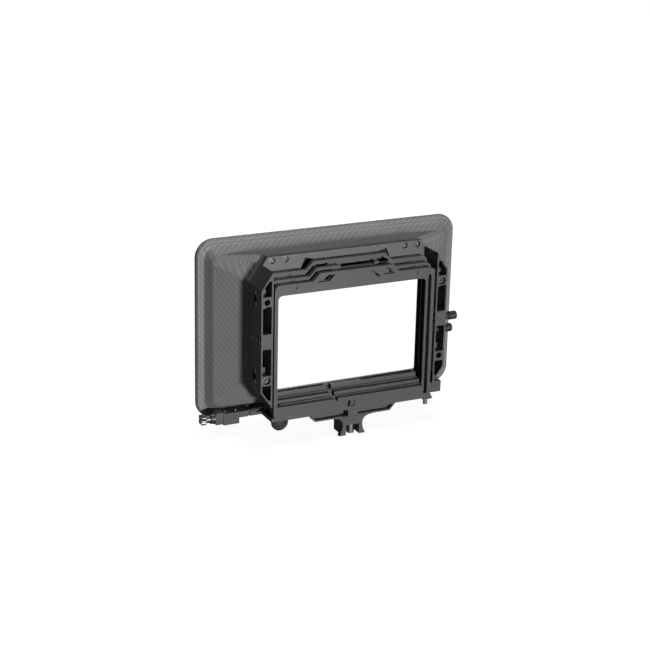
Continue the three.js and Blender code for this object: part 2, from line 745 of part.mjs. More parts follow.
// Filter trays: a ring with a thin web, a window, a boss below it and a sloped handle above it
function trayOutline() {
  const half = trayWidth / 2;
  const r = trayCornerRadius;
  const lowRadius = trayPocketRadius;
  const shoulder = trayHeight;
  const slopeFoot = handleWidth / 2 + handleUpstand;
  const shape = new THREE.Shape();
  shape.moveTo(-half + lowRadius, 0);
  shape.lineTo(half - lowRadius, 0);
  shape.absarc(half - lowRadius, lowRadius, lowRadius, -Math.PI / 2, 0);
  shape.lineTo(half, shoulder - r);
  shape.absarc(half - r, shoulder - r, r, 0, Math.PI / 2);
  shape.lineTo(slopeFoot, shoulder);
  shape.lineTo(handleWidth / 2, shoulder + handleUpstand);
  shape.lineTo(-handleWidth / 2, shoulder + handleUpstand);
  shape.lineTo(-slopeFoot, shoulder);
  shape.lineTo(-half + r, shoulder);
  shape.absarc(-half + r, shoulder - r, r, Math.PI / 2, Math.PI);
  shape.lineTo(-half, lowRadius);
  shape.absarc(-half + lowRadius, lowRadius, lowRadius, Math.PI, 1.5 * Math.PI);
  return shape;
}

const fingerPocketPlace = handleWidth / 2 - fingerPocketInset;
const spacerPlace = trayWidth / 2 - spacerInset;
const thinSpacerPlace = handleWidth / 2 - thinSpacerInset;
const padRecessPlace = trayWidth / 2 - padRecessInset;

function fingerPocket(side) {
  const low = trayHeight - fingerPocketDrop;
  const high = low + fingerPocketHeight;
  const near = side * fingerPocketPlace;
  const far = side * (fingerPocketPlace + fingerPocketLength);
  const slant = side * fingerPocketHeight;
  return polygon([[near + slant, low], [far + slant, low], [far, high], [near, high]]);
}

function trayBody() {
  const blank = slab(trayOutline(), 0, trayDepth);
  const pocketHalf = trayWidth / 2 - traySideWall;
  const pocketDepth = trayDepth - trayWebThickness;
  const pocket = slab(roundedRect(-pocketHalf, pocketHalf, trayBottomWall,
    trayBottomWall + trayPocketHeight, trayPocketRadius), -overrun, pocketDepth, 4);
  const window = slab(roundedRect(-windowWidth / 2, windowWidth / 2, windowLift,
    windowLift + windowHeight, windowRadius), -overrun, trayDepth + overrun);
  const boss = boxAcross(bossWidth, 0, pocketDepth + overrun / 2, trayBottomWall - overrun / 2, bossHeight);
  const tools = [];
  for (const side of [-1, 1]) {
    const groove = side * (trayWidth / 2 - guideDepth - runGap);
    const outside = side * (trayWidth / 2 + overrun);
    tools.push(box(
      Math.min(groove, outside), Math.max(groove, outside),
      trayDepth / 2 - guideThickness / 2 - runGap, trayDepth / 2 + guideThickness / 2 + runGap,
      -overrun, trayHeight + overrun,
    ));
    tools.push(slab(fingerPocket(side), -overrun, handleThickness - trayWebThickness));
    tools.push(rod('y', padRecessDiameter, -overrun, padRecessDepth,
      side * padRecessPlace, trayHeight - handleBarHeight / 2, 20));
  }
  tools.push(rod('y', dimpleDiameter, -overrun, dimpleDepth, 0, trayHeight - handleBarHeight / 2, 12));
  tools.push(box(-notchShift - notchWidth / 2, -notchShift + notchWidth / 2, -overrun, notchDepth,
    -overrun, notchHeight));
  const barBottom = trayHeight - handleBarHeight;
  const step = boxAcross(trayWidth + 2 * overrun, handleThickness, trayDepth + overrun,
    barBottom, trayHeight + handleUpstand + overrun);
  const spacers = [];
  for (const side of [-1, 1]) {
    spacers.push(box(
      side * spacerPlace - spacerWidth / 2, side * spacerPlace + spacerWidth / 2,
      handleThickness - overrun / 2, trayDepth, barBottom, trayHeight - fitGap,
    ));
    spacers.push(box(
      side * thinSpacerPlace - thinSpacerWidth / 2, side * thinSpacerPlace + thinSpacerWidth / 2,
      handleThickness - overrun / 2, trayDepth, trayHeight + handleUpstand - thinSpacerHeight,
      trayHeight + handleUpstand - fitGap,
    ));
  }
  return join([cut(blank, [pocket, window, step]), boss, ...spacers]).subtract(join(tools));
}

const trayGeometry = geometryFrom(trayBody());
for (let index = 0; index < trayCount; index += 1) {
  const tray = new THREE.Mesh(trayGeometry.clone(), blackAnodised());
  tray.name = `tray_${index + 1}`;
  tray.position.set(0, trayRear(index), trayBottom(index));
  root.add(tray);
}

// Floor under the trays, stepped up under each one, with the flange, a lug and the foot below it
function crossmember() {
  const floorRear = trayRear(0);
  const width = 2 * railInner - 2 * fitGap;
  const bodies = [boxAcross(width, floorRear, plateRear - fitGap, floorBottom, floorTop)];
  for (let index = 1; index < trayCount; index += 1) {
    const rear = trayRear(index) - (trayPitch - trayDepth) / 2;
    const front = index === trayCount - 1 ? plateRear - fitGap : rear + trayPitch;
    bodies.push(boxAcross(trayWidth - 2 * trayCornerRadius, rear, front, floorTop - overrun / 2,
      floorTop + trayRises[index]));
  }
  const slope = flangeHeight;
  bodies.push(slab(polygon([
    [-flangeWidth / 2, floorBottom + floorThickness / 2],
    [-flangeWidth / 2 + slope, flangeBottom],
    [flangeWidth / 2 - slope, flangeBottom],
    [flangeWidth / 2, floorBottom + floorThickness / 2],
  ]), floorRear, floorRear + flangeDepth));
  bodies.push(box(pinPlace - pinLugWidth / 2, pinPlace + pinLugWidth / 2, floorRear,
    floorRear + pinLugWidth / 2 + pinDiameter / 2, floorBottom - pinLugHeight, floorTop - overrun / 2));
  const tools = [];
  for (const side of [-1, 1]) {
    const inner = side * postWidth / 2;
    const outer = side * (flangeWidth / 2 - slope);
    tools.push(slab(polygon([
      [inner, flangeBottom + flangeLip],
      [outer - side * flangeLip / 2, flangeBottom + flangeLip],
      [outer + side * (slope - 2 * flangeLip), floorBottom - flangeLip / 2],
      [inner, floorBottom - flangeLip / 2],
    ]), floorRear - overrun, floorRear + flangeChannelDepth));
  }
  tools.push(rod('z', pinDiameter + 2 * fitGap, floorBottom - pinLugHeight - overrun, floorBottom - fitGap,
    pinPlace, floorRear + pinDiameter, 16));
  return cut(join(bodies), tools);
}
addPart('crossmember', crossmember(), blackAnodised());

// Foot: a waisted block that a clamp grips, split at the rear for its screw
function footBlock() {
  const top = flangeBottom - fitGap;
  const waistZ = footHeight * footWaistShare;
  const half = footBlockWidth / 2;
  const curveZ = footHeight * footCurveShare;
  const shape = new THREE.Shape();
  shape.moveTo(-footSpread / 2, footSeat);
  shape.lineTo(footSpread / 2, footSeat);
  shape.quadraticCurveTo(footWaist / 2, curveZ, footWaist / 2, waistZ);
  shape.quadraticCurveTo(footWaist / 2, top - fitGap, half, top - fitGap);
  shape.lineTo(half, top);
  shape.lineTo(-half, top);
  shape.lineTo(-half, top - fitGap);
  shape.quadraticCurveTo(-footWaist / 2, top - fitGap, -footWaist / 2, waistZ);
  shape.quadraticCurveTo(-footWaist / 2, curveZ, -footSpread / 2, footSeat);
  const body = slab(shape, footRear, footRear + footDepth, 8);
  const slot = boxAcross(footSlotWidth, footRear - overrun, footRear + footSlotDepth,
    footSeat - overrun, waistZ);
  const bore = rod('z', footScrewDiameter / 2 + 2 * fitGap, waistZ - overrun, top - floorThickness,
    0, footRear + footSlotDepth / 2, 16);
  return cut(body, [slot, bore]);
}
addPart('foot', footBlock(), blackAnodised());

function footScrew() {
  const waistZ = footHeight * footWaistShare;
  const y = footRear + footSlotDepth / 2;
  const head = rod('z', footScrewDiameter, footSeat + 2 * runGap, waistZ - runGap, 0, y, 28);
  const shank = rod('z', footScrewDiameter / 2, waistZ - 2 * runGap, flangeBottom - fitGap - 2 * floorThickness,
    0, y, 16);
  const socket = rod('z', footScrewDiameter / 2, footSeat - overrun, footSeat + footScrewDiameter / 2, 0, y, 6);
  return head.add(shank).subtract(socket);
}
addPart('foot_screw', footScrew(), silverSteel());

// Corner pin in the lug at the right end of the floor
addPart('corner_pin', rod('z', pinDiameter, floorBottom - pinLength, floorBottom - 2 * fitGap,
  pinPlace, trayRear(0) + pinDiameter, 20), silverSteel());

// Corner wheel with its raised rings, on a shaft through the ear of the front plate
function cornerWheel() {
  const rim = wheelDiameter / 2;
  const hub = wheelShaftDiameter / 2 + runGap;
  const rear = plateRear - runGap - wheelThickness;
  const front = plateRear - runGap;
  const step = wheelThickness / 4;
  const [grooveIn, ringIn, ringOut, grooveOut, rimIn, rimFlat] = wheelRingShares.map((share) => share * rim);
  const profile = [
    [hub, rear + step], [grooveIn, rear + step], [ringIn, rear], [ringOut, rear],
    [grooveOut, rear + step], [rimIn, rear + step], [rimFlat, rear], [rim, rear + step],
    [rim, front - step], [rimFlat, front], [hub, front], [hub, rear + step],
  ].map(([radius, y]) => new THREE.Vector2(radius, y));
  const geometry = new THREE.LatheGeometry(profile, 40);
  geometry.translate(-wheelPlace, 0, wheelZ);
  return solid(geometry);
}
addPart('corner_wheel', cornerWheel(), blackSteel());

function wheelShaft() {
  const rear = plateRear - runGap - wheelThickness;
  const head = rod('y', wheelHeadDiameter, rear, rear + wheelThickness / 4 - runGap,
    -wheelPlace, wheelZ, 20);
  const shank = rod('y', wheelShaftDiameter, rear, plateFront + fitGap, -wheelPlace, wheelZ, 20);
  return head.add(shank);
}
addPart('wheel_shaft', wheelShaft(), blackSteel());

// Flag bar: two sloped arms carry it from the underside of the hood
const flagRear = plateFront + flagBarSetback;
const flagFront = flagRear + flagBarDepth;
const hoodUnderside = hoodMiddle - flareHeight / 2;
const armTop = hoodUnderside - 2 * fitGap;
const barBottomZ = hoodUnderside - flagBarDrop;
const barTopZ = barBottomZ + flagBarThickness;
const chordTopZ = barBottomZ + flagChordThickness;

function flagBar() {
  const half = flagBarWidth / 2;
  const bend = flagArmSpread / 2;
  const foot = flagArmTopSpread / 2;
  const inner = foot - flagArmFoot;
  const innerLow = bend - flagArmFoot;
  const right = [
    [half, barBottomZ], [half, barTopZ], [bend, barTopZ], [foot, armTop], [inner, armTop],
    [inner, armTop - flagArmFoot * flagArmShare], [innerLow, chordTopZ],
  ];
  const left = right.map(([x, z]) => [-x, z]).reverse();
  const bar = slab(polygon([...right, ...left]), flagRear, flagFront);
  const lugs = [-1, 1].map((side) => box(
    Math.min(side * foot, side * inner), Math.max(side * foot, side * inner),
    plateFront + fitGap, flagRear + overrun, armTop - flagArmFoot * flagArmShare, armTop,
  ));
  const body = join([bar, ...lugs]);
  const tools = [];
  for (const side of [-1, 1]) {
    for (const share of flagScrewShares) {
      tools.push(rod('z', plateScrewShank + 2 * fitGap, barBottomZ - overrun, barTopZ + overrun,
        side * (half - flagClampWidth * share), (flagRear + flagFront) / 2, 12));
    }
    tools.push(box(
      side * bend - flagSeamWidth / 2, side * bend + flagSeamWidth / 2,
      flagRear - overrun, flagRear + flagSeamDepth, barBottomZ - overrun, barTopZ + overrun,
    ));
  }
  return cut(body, tools);
}
addPart('flag_bar', flagBar(), blackAnodised());

const flagMiddleY = (flagRear + flagFront) / 2;
function flagClamp(side) {
  const outer = side * flagBarWidth / 2;
  const inner = side * (flagBarWidth / 2 - flagClampWidth);
  const top = barBottomZ - fitGap;
  const body = box(Math.min(outer, inner), Math.max(outer, inner), flagRear, flagFront,
    top - flagClampHeight, top);
  const tools = flagScrewShares.map((share) => rod('z', plateScrewShank + 2 * fitGap,
    top - flagClampHeight / 2, top + overrun, side * (flagBarWidth / 2 - flagClampWidth * share),
    flagMiddleY, 12));
  return cut(body, tools);
}
addPart('flag_clamp_left', flagClamp(-1), blackAnodised());
addPart('flag_clamp_right', flagClamp(1), blackAnodised());

function flagScrew(x) {
  const head = rod('z', flagScrewHead, barTopZ + fitGap, barTopZ + fitGap + plateScrewShank / 2,
    x, flagMiddleY, 16);
  const shank = rod('z', plateScrewShank, barBottomZ - flagClampHeight / 2, barTopZ + plateScrewShank / 2,
    x, flagMiddleY, 12);
  return head.add(shank);
}
for (const side of [-1, 1]) {
  flagScrewShares.forEach((share, index) => {
    const number = side < 0 ? index + 1 : flagScrewShares.length + index + 1;
    addPart(`flag_screw_${number}`, flagScrew(side * (flagBarWidth / 2 - flagClampWidth * share)),
      silverSteel());
  });
}

// Hinge block at the left end of the bar, with the spindle of its clamping knob
const hingeInner = -flagBarWidth / 2 - fitGap;
const hingeOuter = hingeInner - flagHingeWidth;
const hingeMiddleZ = barBottomZ + flagBarThickness / 2 - flagChordThickness / 2;
function flagHinge() {
  const body = box(hingeOuter, hingeInner, flagRear, flagFront,
    hingeMiddleZ - flagHingeHeight / 2, hingeMiddleZ + flagHingeHeight / 2);
  const spindleHole = rod('x', flagSpindleDiameter + 2 * runGap, hingeOuter - overrun,
    hingeInner - flagHingeWidth / 4, flagMiddleY, hingeMiddleZ, 20);
  return body.subtract(spindleHole);
}
addPart('flag_hinge_block', flagHinge(), blackAnodised());

function flagCollar() {
  const outer = hingeOuter - fitGap;
  const cone = new THREE.CylinderGeometry(flagCollarTipDiameter / 2, flagCollarDiameter / 2, flagCollarLength, 24);
  cone.rotateZ(Math.PI / 2);
  cone.translate(outer - flagCollarLength / 2, flagMiddleY, hingeMiddleZ);
  const body = solid(cone);
  const hole = rod('x', flagSpindleDiameter + 2 * runGap, outer - flagCollarLength - overrun,
    outer + overrun, flagMiddleY, hingeMiddleZ, 20);
  return body.subtract(hole);
}
addPart('flag_collar', flagCollar(), blackSteel());

function flagKnob() {
  const inner = hingeOuter - fitGap - flagCollarLength - runGap;
  const outer = inner - flagKnobLength;
  const shape = new THREE.Shape();
  const steps = flagKnobLobes * 12;
  for (let step = 0; step < steps; step += 1) {
    const angle = step / steps * 2 * Math.PI;
    const radius = flagKnobDiameter / 2 * (1 - flagLobeShare - flagLobeShare * Math.cos(flagKnobLobes * angle));
    const x = radius * Math.cos(angle);
    const y = radius * Math.sin(angle);
    if (step === 0) shape.moveTo(x, y);
    else shape.lineTo(x, y);
  }
  const grip = new THREE.ExtrudeGeometry(shape, { depth: flagKnobLength * flagGripShare, bevelEnabled: false });
  grip.rotateY(Math.PI / 2);
  grip.translate(outer, flagMiddleY, hingeMiddleZ);
  const neck = rod('x', flagNeckDiameter, outer + flagKnobLength * flagGripShare - fitGap, inner,
    flagMiddleY, hingeMiddleZ, 24);
  const spindle = rod('x', flagSpindleDiameter, outer + flagKnobLength / 2,
    hingeInner - flagHingeWidth / 4 - fitGap, flagMiddleY, hingeMiddleZ, 20);
  return join([solid(grip), neck, spindle]);
}
addPart('flag_knob', flagKnob(), silverSteel());

// Spring plungers: sleeve, spring and pin for each tray
const sleeveOuter = -plungerBodyEnd;
const sleeveInner = -railInner - fitGap;
const pinTip = -trayWidth / 2 - runGap;
const pinHead = pinTip - plungerPinLength;
function plungerSleeve(y) {
  const body = rod('x', plungerDiameter, sleeveOuter, sleeveInner, y, plungerZ, 18);
  const bore = rod('x', plungerPinDiameter + 2 * runGap, sleeveOuter + plungerDiameter / 2,
    sleeveInner + overrun, y, plungerZ, 16);
  const slot = box(sleeveOuter - overrun, sleeveOuter + springWall, y - springWall, y + springWall,
    plungerZ - plungerDiameter, plungerZ + plungerDiameter);
  return cut(body, [bore, slot]);
}

for (let index = 0; index < trayCount; index += 1) {
  const y = detentMiddle(index);
  addPart(`plunger_sleeve_${index + 1}`, plungerSleeve(y), silverSteel());
  const shank = rod('x', plungerPinDiameter, pinHead, pinTip - plungerPinDiameter / 2, y, plungerZ, 16);
  const nose = new THREE.SphereGeometry(plungerPinDiameter / 2, 16, 10);
  nose.translate(pinTip - plungerPinDiameter / 2, y, plungerZ);
  addPart(`plunger_pin_${index + 1}`, shank.add(solid(nose)), silverSteel());
}

function plungerSpring(y) {
  const from = sleeveOuter + plungerDiameter / 2 + fitGap;
  const to = pinHead - plungerTravel - fitGap;
  const coil = rod('x', plungerPinDiameter, from, to, y, plungerZ, 14);
  const hollow = rod('x', plungerPinDiameter - 2 * springWall, from - overrun, to + overrun, y, plungerZ, 14);
  return coil.subtract(hollow);
}

for (let index = 0; index < trayCount; index += 1) {
  addPart(`plunger_spring_${index + 1}`, plungerSpring(detentMiddle(index)), silverSteel());
}

// Lock knobs: each pulls out of a bush in the right rail
for (const place of lockPlaces) {
  const bushInner = railInner + fitGap;
  const bushOuter = sideFaceX + lockBushLength;
  const bushBody = rod('x', lockBushDiameter, bushInner, bushOuter, place.y, place.z, 24);
  const bushHole = rod('x', lockShankDiameter + 2 * runGap, bushInner - overrun, bushOuter + overrun,
    place.y, place.z, 20);
  addPart(`lock_bush_${place.name}`, bushBody.subtract(bushHole), blackSteel());
  const knobInner = bushOuter + runGap;
  const knobOuter = knobInner + lockKnobLength;
  const grip = rod('x', lockKnobDiameter, knobInner, knobOuter, place.y, place.z, 32);
  const pin = rod('x', lockShankDiameter, trayWidth / 2 + runGap, knobInner + lockTravel, place.y, place.z, 20);
  addPart(`lock_knob_${place.name}`, grip.add(pin), blackSteel());
}

export default root;
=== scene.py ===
"""Looks of a matte box: finishes, machined edges, carbon weave, screws and knobs, studio and camera."""

import json
import math

import bpy
from mathutils import Matrix, Vector


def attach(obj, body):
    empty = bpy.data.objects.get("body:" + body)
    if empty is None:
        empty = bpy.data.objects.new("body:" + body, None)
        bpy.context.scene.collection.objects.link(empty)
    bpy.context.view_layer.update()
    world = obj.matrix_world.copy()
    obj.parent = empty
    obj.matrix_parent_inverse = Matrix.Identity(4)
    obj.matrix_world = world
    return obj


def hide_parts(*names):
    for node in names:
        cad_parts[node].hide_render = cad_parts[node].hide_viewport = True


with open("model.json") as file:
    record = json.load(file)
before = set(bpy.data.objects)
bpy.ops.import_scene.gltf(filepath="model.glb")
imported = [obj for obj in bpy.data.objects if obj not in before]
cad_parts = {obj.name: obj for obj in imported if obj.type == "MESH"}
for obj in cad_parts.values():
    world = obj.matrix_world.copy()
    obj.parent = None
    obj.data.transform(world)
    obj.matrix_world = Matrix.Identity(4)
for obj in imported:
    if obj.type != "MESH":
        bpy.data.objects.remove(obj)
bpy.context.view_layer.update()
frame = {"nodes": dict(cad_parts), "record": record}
MM = 0.001

body_of_node = {}
for body_name, node_names in frame["record"]["behaviour"]["bodies"].items():
    for node_name in node_names:
        body_of_node[node_name] = body_name


# Shader groups and materials

TOW_WIDTH = 1.5 * MM
TOW_DRIFT = 1.8 * MM
EDGE_WEAR_HIGHLIGHT_WIDTH = 0.4 * MM
TURNED_WEAR_HIGHLIGHT_WIDTH = 0.3 * MM
BLAST_DEPTH = 0.02 * MM
TURNING_DEPTH = 0.01 * MM
WEAVE_DEPTH = 0.06 * MM
BLAST_SCALE = 5200.0
CLOUD_SCALE = 28.0
TURNING_SCALE = 7000.0


def new_group(name, inputs, outputs):
    """A shader group with named sockets. Each input is (name, socket type, default)."""
    group = bpy.data.node_groups.new(name, "ShaderNodeTree")
    for label, kind, default in inputs:
        socket = group.interface.new_socket(name=label, in_out="INPUT", socket_type=kind)
        if default is not None:
            socket.default_value = default
    for label, kind in outputs:
        group.interface.new_socket(name=label, in_out="OUTPUT", socket_type=kind)
    entry = group.nodes.new("NodeGroupInput")
    leave = group.nodes.new("NodeGroupOutput")
    entry.location = (-900, 0)
    leave.location = (900, 0)
    return group, entry, leave


def add(tree, kind, x, y, **settings):
    """One node at a place, with its settings and the plain values of its sockets."""
    node = tree.nodes.new(kind)
    node.location = (x, y)
    for key, value in settings.items():
        if key.startswith("in_"):
            node.inputs[key[3:].replace("_", " ")].default_value = value
        else:
            setattr(node, key, value)
    return node


def maths(tree, operation, x, y, first=None, second=None, third=None, clamp=False):
    """A Math node. Each operand is a number or the socket that it comes from."""
    node = tree.nodes.new("ShaderNodeMath")
    node.location = (x, y)
    node.operation = operation
    node.use_clamp = clamp
    for index, operand in enumerate((first, second, third)):
        if operand is None:
            continue
        if isinstance(operand, (int, float)):
            node.inputs[index].default_value = operand
        else:
            tree.links.new(operand, node.inputs[index])
    return node.outputs[0]


def blend_colour(tree, x, y, mask, dark, light):
    """Mixes two colours by a mask. A colour is a tuple or a socket."""
    node = tree.nodes.new("ShaderNodeMix")
    node.location = (x, y)
    node.data_type = "RGBA"
    tree.links.new(mask, node.inputs[0])
    for socket, colour in ((node.inputs[6], dark), (node.inputs[7], light)):
        if isinstance(colour, tuple):
            socket.default_value = colour
        else:
            tree.links.new(colour, socket)
    return node.outputs[2]


def blend_value(tree, x, y, mask, low, high):
    """Maps a mask from 0..1 to a span of values."""
    node = tree.nodes.new("ShaderNodeMapRange")
    node.location = (x, y)
    tree.links.new(mask, node.inputs["Value"])
    node.inputs["To Min"].default_value = low
    node.inputs["To Max"].default_value = high
    return node.outputs["Result"]


def make_blast_grain():
    """Fine grain of a bead-blasted skin, with slow clouds over it."""
    group, entry, leave = new_group("Blasted Grain", [
        ("Grain Scale", "NodeSocketFloat", BLAST_SCALE), ("Cloud Scale", "NodeSocketFloat", CLOUD_SCALE),
    ], [("Grain", "NodeSocketFloat"), ("Clouds", "NodeSocketFloat")])
    place = add(group, "ShaderNodeTexCoord", -700, 0)
    grain = add(group, "ShaderNodeTexNoise", -400, 150, in_Detail=3.0, in_Roughness=0.65)
    clouds = add(group, "ShaderNodeTexNoise", -400, -150, in_Detail=4.0, in_Roughness=0.55)
    group.links.new(place.outputs["Object"], grain.inputs["Vector"])
    group.links.new(place.outputs["Object"], clouds.inputs["Vector"])
    group.links.new(entry.outputs["Grain Scale"], grain.inputs["Scale"])
    group.links.new(entry.outputs["Cloud Scale"], clouds.inputs["Scale"])
    group.links.new(grain.outputs["Fac"], leave.inputs["Grain"])
    group.links.new(clouds.outputs["Fac"], leave.inputs["Clouds"])
    return group


def make_edge_wear_and_highlight():
    """A mask along outer edges, where handling rubs a finish bright and where a highlight is painted on. It
    breaks up in patches.
    """
    group, entry, leave = new_group("Edge Wear And Highlight", [
        ("Width", "NodeSocketFloat", EDGE_WEAR_HIGHLIGHT_WIDTH), ("Amount", "NodeSocketFloat", 1.0),
    ], [("Mask", "NodeSocketFloat")])
    geometry = add(group, "ShaderNodeNewGeometry", -700, 100)
    rounded = add(group, "ShaderNodeBevel", -700, -150, samples=4)
    group.links.new(entry.outputs["Width"], rounded.inputs["Radius"])
    facing = add(group, "ShaderNodeVectorMath", -450, 0, operation="DOT_PRODUCT")
    group.links.new(geometry.outputs["Normal"], facing.inputs[0])
    group.links.new(rounded.outputs["Normal"], facing.inputs[1])
    turned = maths(group, "SUBTRACT", -250, 0, 1.0, facing.outputs["Value"])
    place = add(group, "ShaderNodeTexCoord", -700, -400)
    patches = add(group, "ShaderNodeTexNoise", -450, -350, in_Scale=160.0, in_Detail=5.0)
    group.links.new(place.outputs["Object"], patches.inputs["Vector"])
    sharp = maths(group, "MULTIPLY", -50, 0, turned, 7.0, clamp=True)
    broken = maths(group, "MULTIPLY", 150, 0, sharp, patches.outputs["Fac"])
    scaled = maths(group, "MULTIPLY", 350, 0, broken, entry.outputs["Amount"], clamp=True)
    group.links.new(scaled, leave.inputs["Mask"])
    return group


def make_turned_lines():
    """Fine rings left by a lathe, read along one axis of the piece."""
    group, entry, leave = new_group("Turned Lines", [
        ("Position", "NodeSocketVector", None), ("Scale", "NodeSocketFloat", TURNING_SCALE),
    ], [("Lines", "NodeSocketFloat")])
    stretched = add(group, "ShaderNodeTexNoise", -300, 0, in_Detail=2.0, in_Roughness=0.8)
    group.links.new(entry.outputs["Position"], stretched.inputs["Vector"])
    group.links.new(entry.outputs["Scale"], stretched.inputs["Scale"])
    group.links.new(stretched.outputs["Fac"], leave.inputs["Lines"])
    return group


def make_twill():
    """Two-over-two twill of flat tows: which tow is on top, how it rounds over the next, and its fibres."""
    group, entry, leave = new_group("Carbon Twill", [
        ("Weave Map", "NodeSocketVector", None), ("Tow Width", "NodeSocketFloat", TOW_WIDTH),
    ], [("Warp On Top", "NodeSocketFloat"), ("Height", "NodeSocketFloat"), ("Fibres", "NodeSocketFloat")])
    scaled = add(group, "ShaderNodeVectorMath", -760, 0, operation="DIVIDE")
    group.links.new(entry.outputs["Weave Map"], scaled.inputs[0])
    group.links.new(entry.outputs["Tow Width"], scaled.inputs[1])
    parts = add(group, "ShaderNodeSeparateXYZ", -600, 0)
    group.links.new(scaled.outputs[0], parts.inputs[0])
    across, along = parts.outputs[0], parts.outputs[1]
    column = maths(group, "FLOOR", -420, 120, across)
    row = maths(group, "FLOOR", -420, -40, along)
    total = maths(group, "SUBTRACT", -260, 60, column, row)
    step = maths(group, "FLOORED_MODULO", -100, 60, total, 4.0)
    warp = maths(group, "LESS_THAN", 60, 60, step, 1.5)
    across_tow = maths(group, "SUBTRACT", -420, -200, across, column)
    along_tow = maths(group, "SUBTRACT", -420, -360, along, row)
    bow_across = maths(group, "SINE", -100, -200, maths(group, "MULTIPLY", -260, -200, across_tow, math.pi))
    bow_along = maths(group, "SINE", -100, -360, maths(group, "MULTIPLY", -260, -360, along_tow, math.pi))
    pick = add(group, "ShaderNodeMix", 240, -200, data_type="FLOAT")
    group.links.new(warp, pick.inputs[0])
    group.links.new(bow_along, pick.inputs[2])
    group.links.new(bow_across, pick.inputs[3])
    round_top = maths(group, "POWER", 420, -200, pick.outputs[0], 0.4)
    fine = add(group, "ShaderNodeTexNoise", -100, -560, in_Scale=9.0, in_Detail=2.0)
    stretch_warp = add(group, "ShaderNodeVectorMath", -420, -520, operation="MULTIPLY")
    stretch_warp.inputs[1].default_value = (1.0, 0.08, 1.0)
    stretch_weft = add(group, "ShaderNodeVectorMath", -420, -680, operation="MULTIPLY")
    stretch_weft.inputs[1].default_value = (0.08, 1.0, 1.0)
    group.links.new(scaled.outputs[0], stretch_warp.inputs[0])
    group.links.new(scaled.outputs[0], stretch_weft.inputs[0])
    direction = add(group, "ShaderNodeMix", -260, -600, data_type="VECTOR")
    group.links.new(warp, direction.inputs[0])
    group.links.new(stretch_weft.outputs[0], direction.inputs[4])
    group.links.new(stretch_warp.outputs[0], direction.inputs[5])
    group.links.new(direction.outputs[1], fine.inputs["Vector"])
    group.links.new(warp, leave.inputs["Warp On Top"])
    group.links.new(round_top, leave.inputs["Height"])
    group.links.new(fine.outputs["Fac"], leave.inputs["Fibres"])
    return group


blast_grain = make_blast_grain()
edge_wear_and_highlight = make_edge_wear_and_highlight()
turned_lines = make_turned_lines()
twill = make_twill()


def new_material(name):
    material = bpy.data.materials.new(name)
    material.use_nodes = True
    tree = material.node_tree
    surface = tree.nodes["Principled BSDF"]
    surface.location = (900, 0)
    tree.nodes["Material Output"].location = (1200, 0)
    return material, tree, surface


def place_group(tree, group, x, y, **values):
    node = tree.nodes.new("ShaderNodeGroup")
    node.node_tree = group
    node.location = (x, y)
    for key, value in values.items():
        node.inputs[key.replace("_", " ")].default_value = value
    return node


def add_bump(tree, surface, height, depth, x=600, y=-400):
    bump = add(tree, "ShaderNodeBump", x, y, in_Strength=1.0)
    bump.inputs["Distance"].default_value = depth
    tree.links.new(height, bump.inputs["Height"])
    tree.links.new(bump.outputs["Normal"], surface.inputs["Normal"])


def make_anodised(name, dark, light, worn_and_highlit, rough_low, rough_high, metal, wear_and_highlight_amount):
    """Bead-blasted black anodising, a little uneven, rubbed paler along its edges and painted with a
    highlight there.
    """
    material, tree, surface = new_material(name)
    grain = place_group(tree, blast_grain, -200, 200, Grain_Scale=BLAST_SCALE, Cloud_Scale=CLOUD_SCALE)
    edge_wear_highlight = place_group(tree, edge_wear_and_highlight, -200, -100, Width=EDGE_WEAR_HIGHLIGHT_WIDTH, Amount=wear_and_highlight_amount)
    half_grain = maths(tree, "MULTIPLY", 0, 300, grain.outputs["Grain"], 0.5)
    half_clouds = maths(tree, "MULTIPLY", 0, 150, grain.outputs["Clouds"], 0.5)
    mottled = maths(tree, "ADD", 100, 200, half_grain, half_clouds)
    skin = blend_colour(tree, 300, 250, mottled, dark, light)
    colour = blend_colour(tree, 500, 200, edge_wear_highlight.outputs["Mask"], skin, worn_and_highlit)
    tree.links.new(colour, surface.inputs["Base Color"])
    tree.links.new(blend_value(tree, 500, -50, mottled, rough_low, rough_high), surface.inputs["Roughness"])
    surface.inputs["Metallic"].default_value = metal
    add_bump(tree, surface, grain.outputs["Grain"], BLAST_DEPTH)
    return material


def make_turned_metal(name, dark, light, rough_low, rough_high, metal, axis):
    """Lathe-turned metal with fine rings round one axis, its edges paler from wear and a painted highlight.
    """
    material, tree, surface = new_material(name)
    place = add(tree, "ShaderNodeTexCoord", -600, 0)
    squeeze = add(tree, "ShaderNodeVectorMath", -400, 0, operation="MULTIPLY")
    squeeze.inputs[1].default_value = tuple(1.0 if index == axis else 0.06 for index in range(3))
    tree.links.new(place.outputs["Object"], squeeze.inputs[0])
    lines = place_group(tree, turned_lines, -200, 0, Scale=TURNING_SCALE)
    tree.links.new(squeeze.outputs[0], lines.inputs["Position"])
    edge_wear_highlight = place_group(tree, edge_wear_and_highlight, -200, -250, Width=TURNED_WEAR_HIGHLIGHT_WIDTH, Amount=0.5)
    skin = blend_colour(tree, 200, 150, lines.outputs["Lines"], dark, light)
    colour = blend_colour(tree, 400, 150, edge_wear_highlight.outputs["Mask"], skin, light)
    tree.links.new(colour, surface.inputs["Base Color"])
    tree.links.new(blend_value(tree, 300, -80, lines.outputs["Lines"], rough_low, rough_high),
                   surface.inputs["Roughness"])
    surface.inputs["Metallic"].default_value = metal
    add_bump(tree, surface, lines.outputs["Lines"], TURNING_DEPTH)
    return material


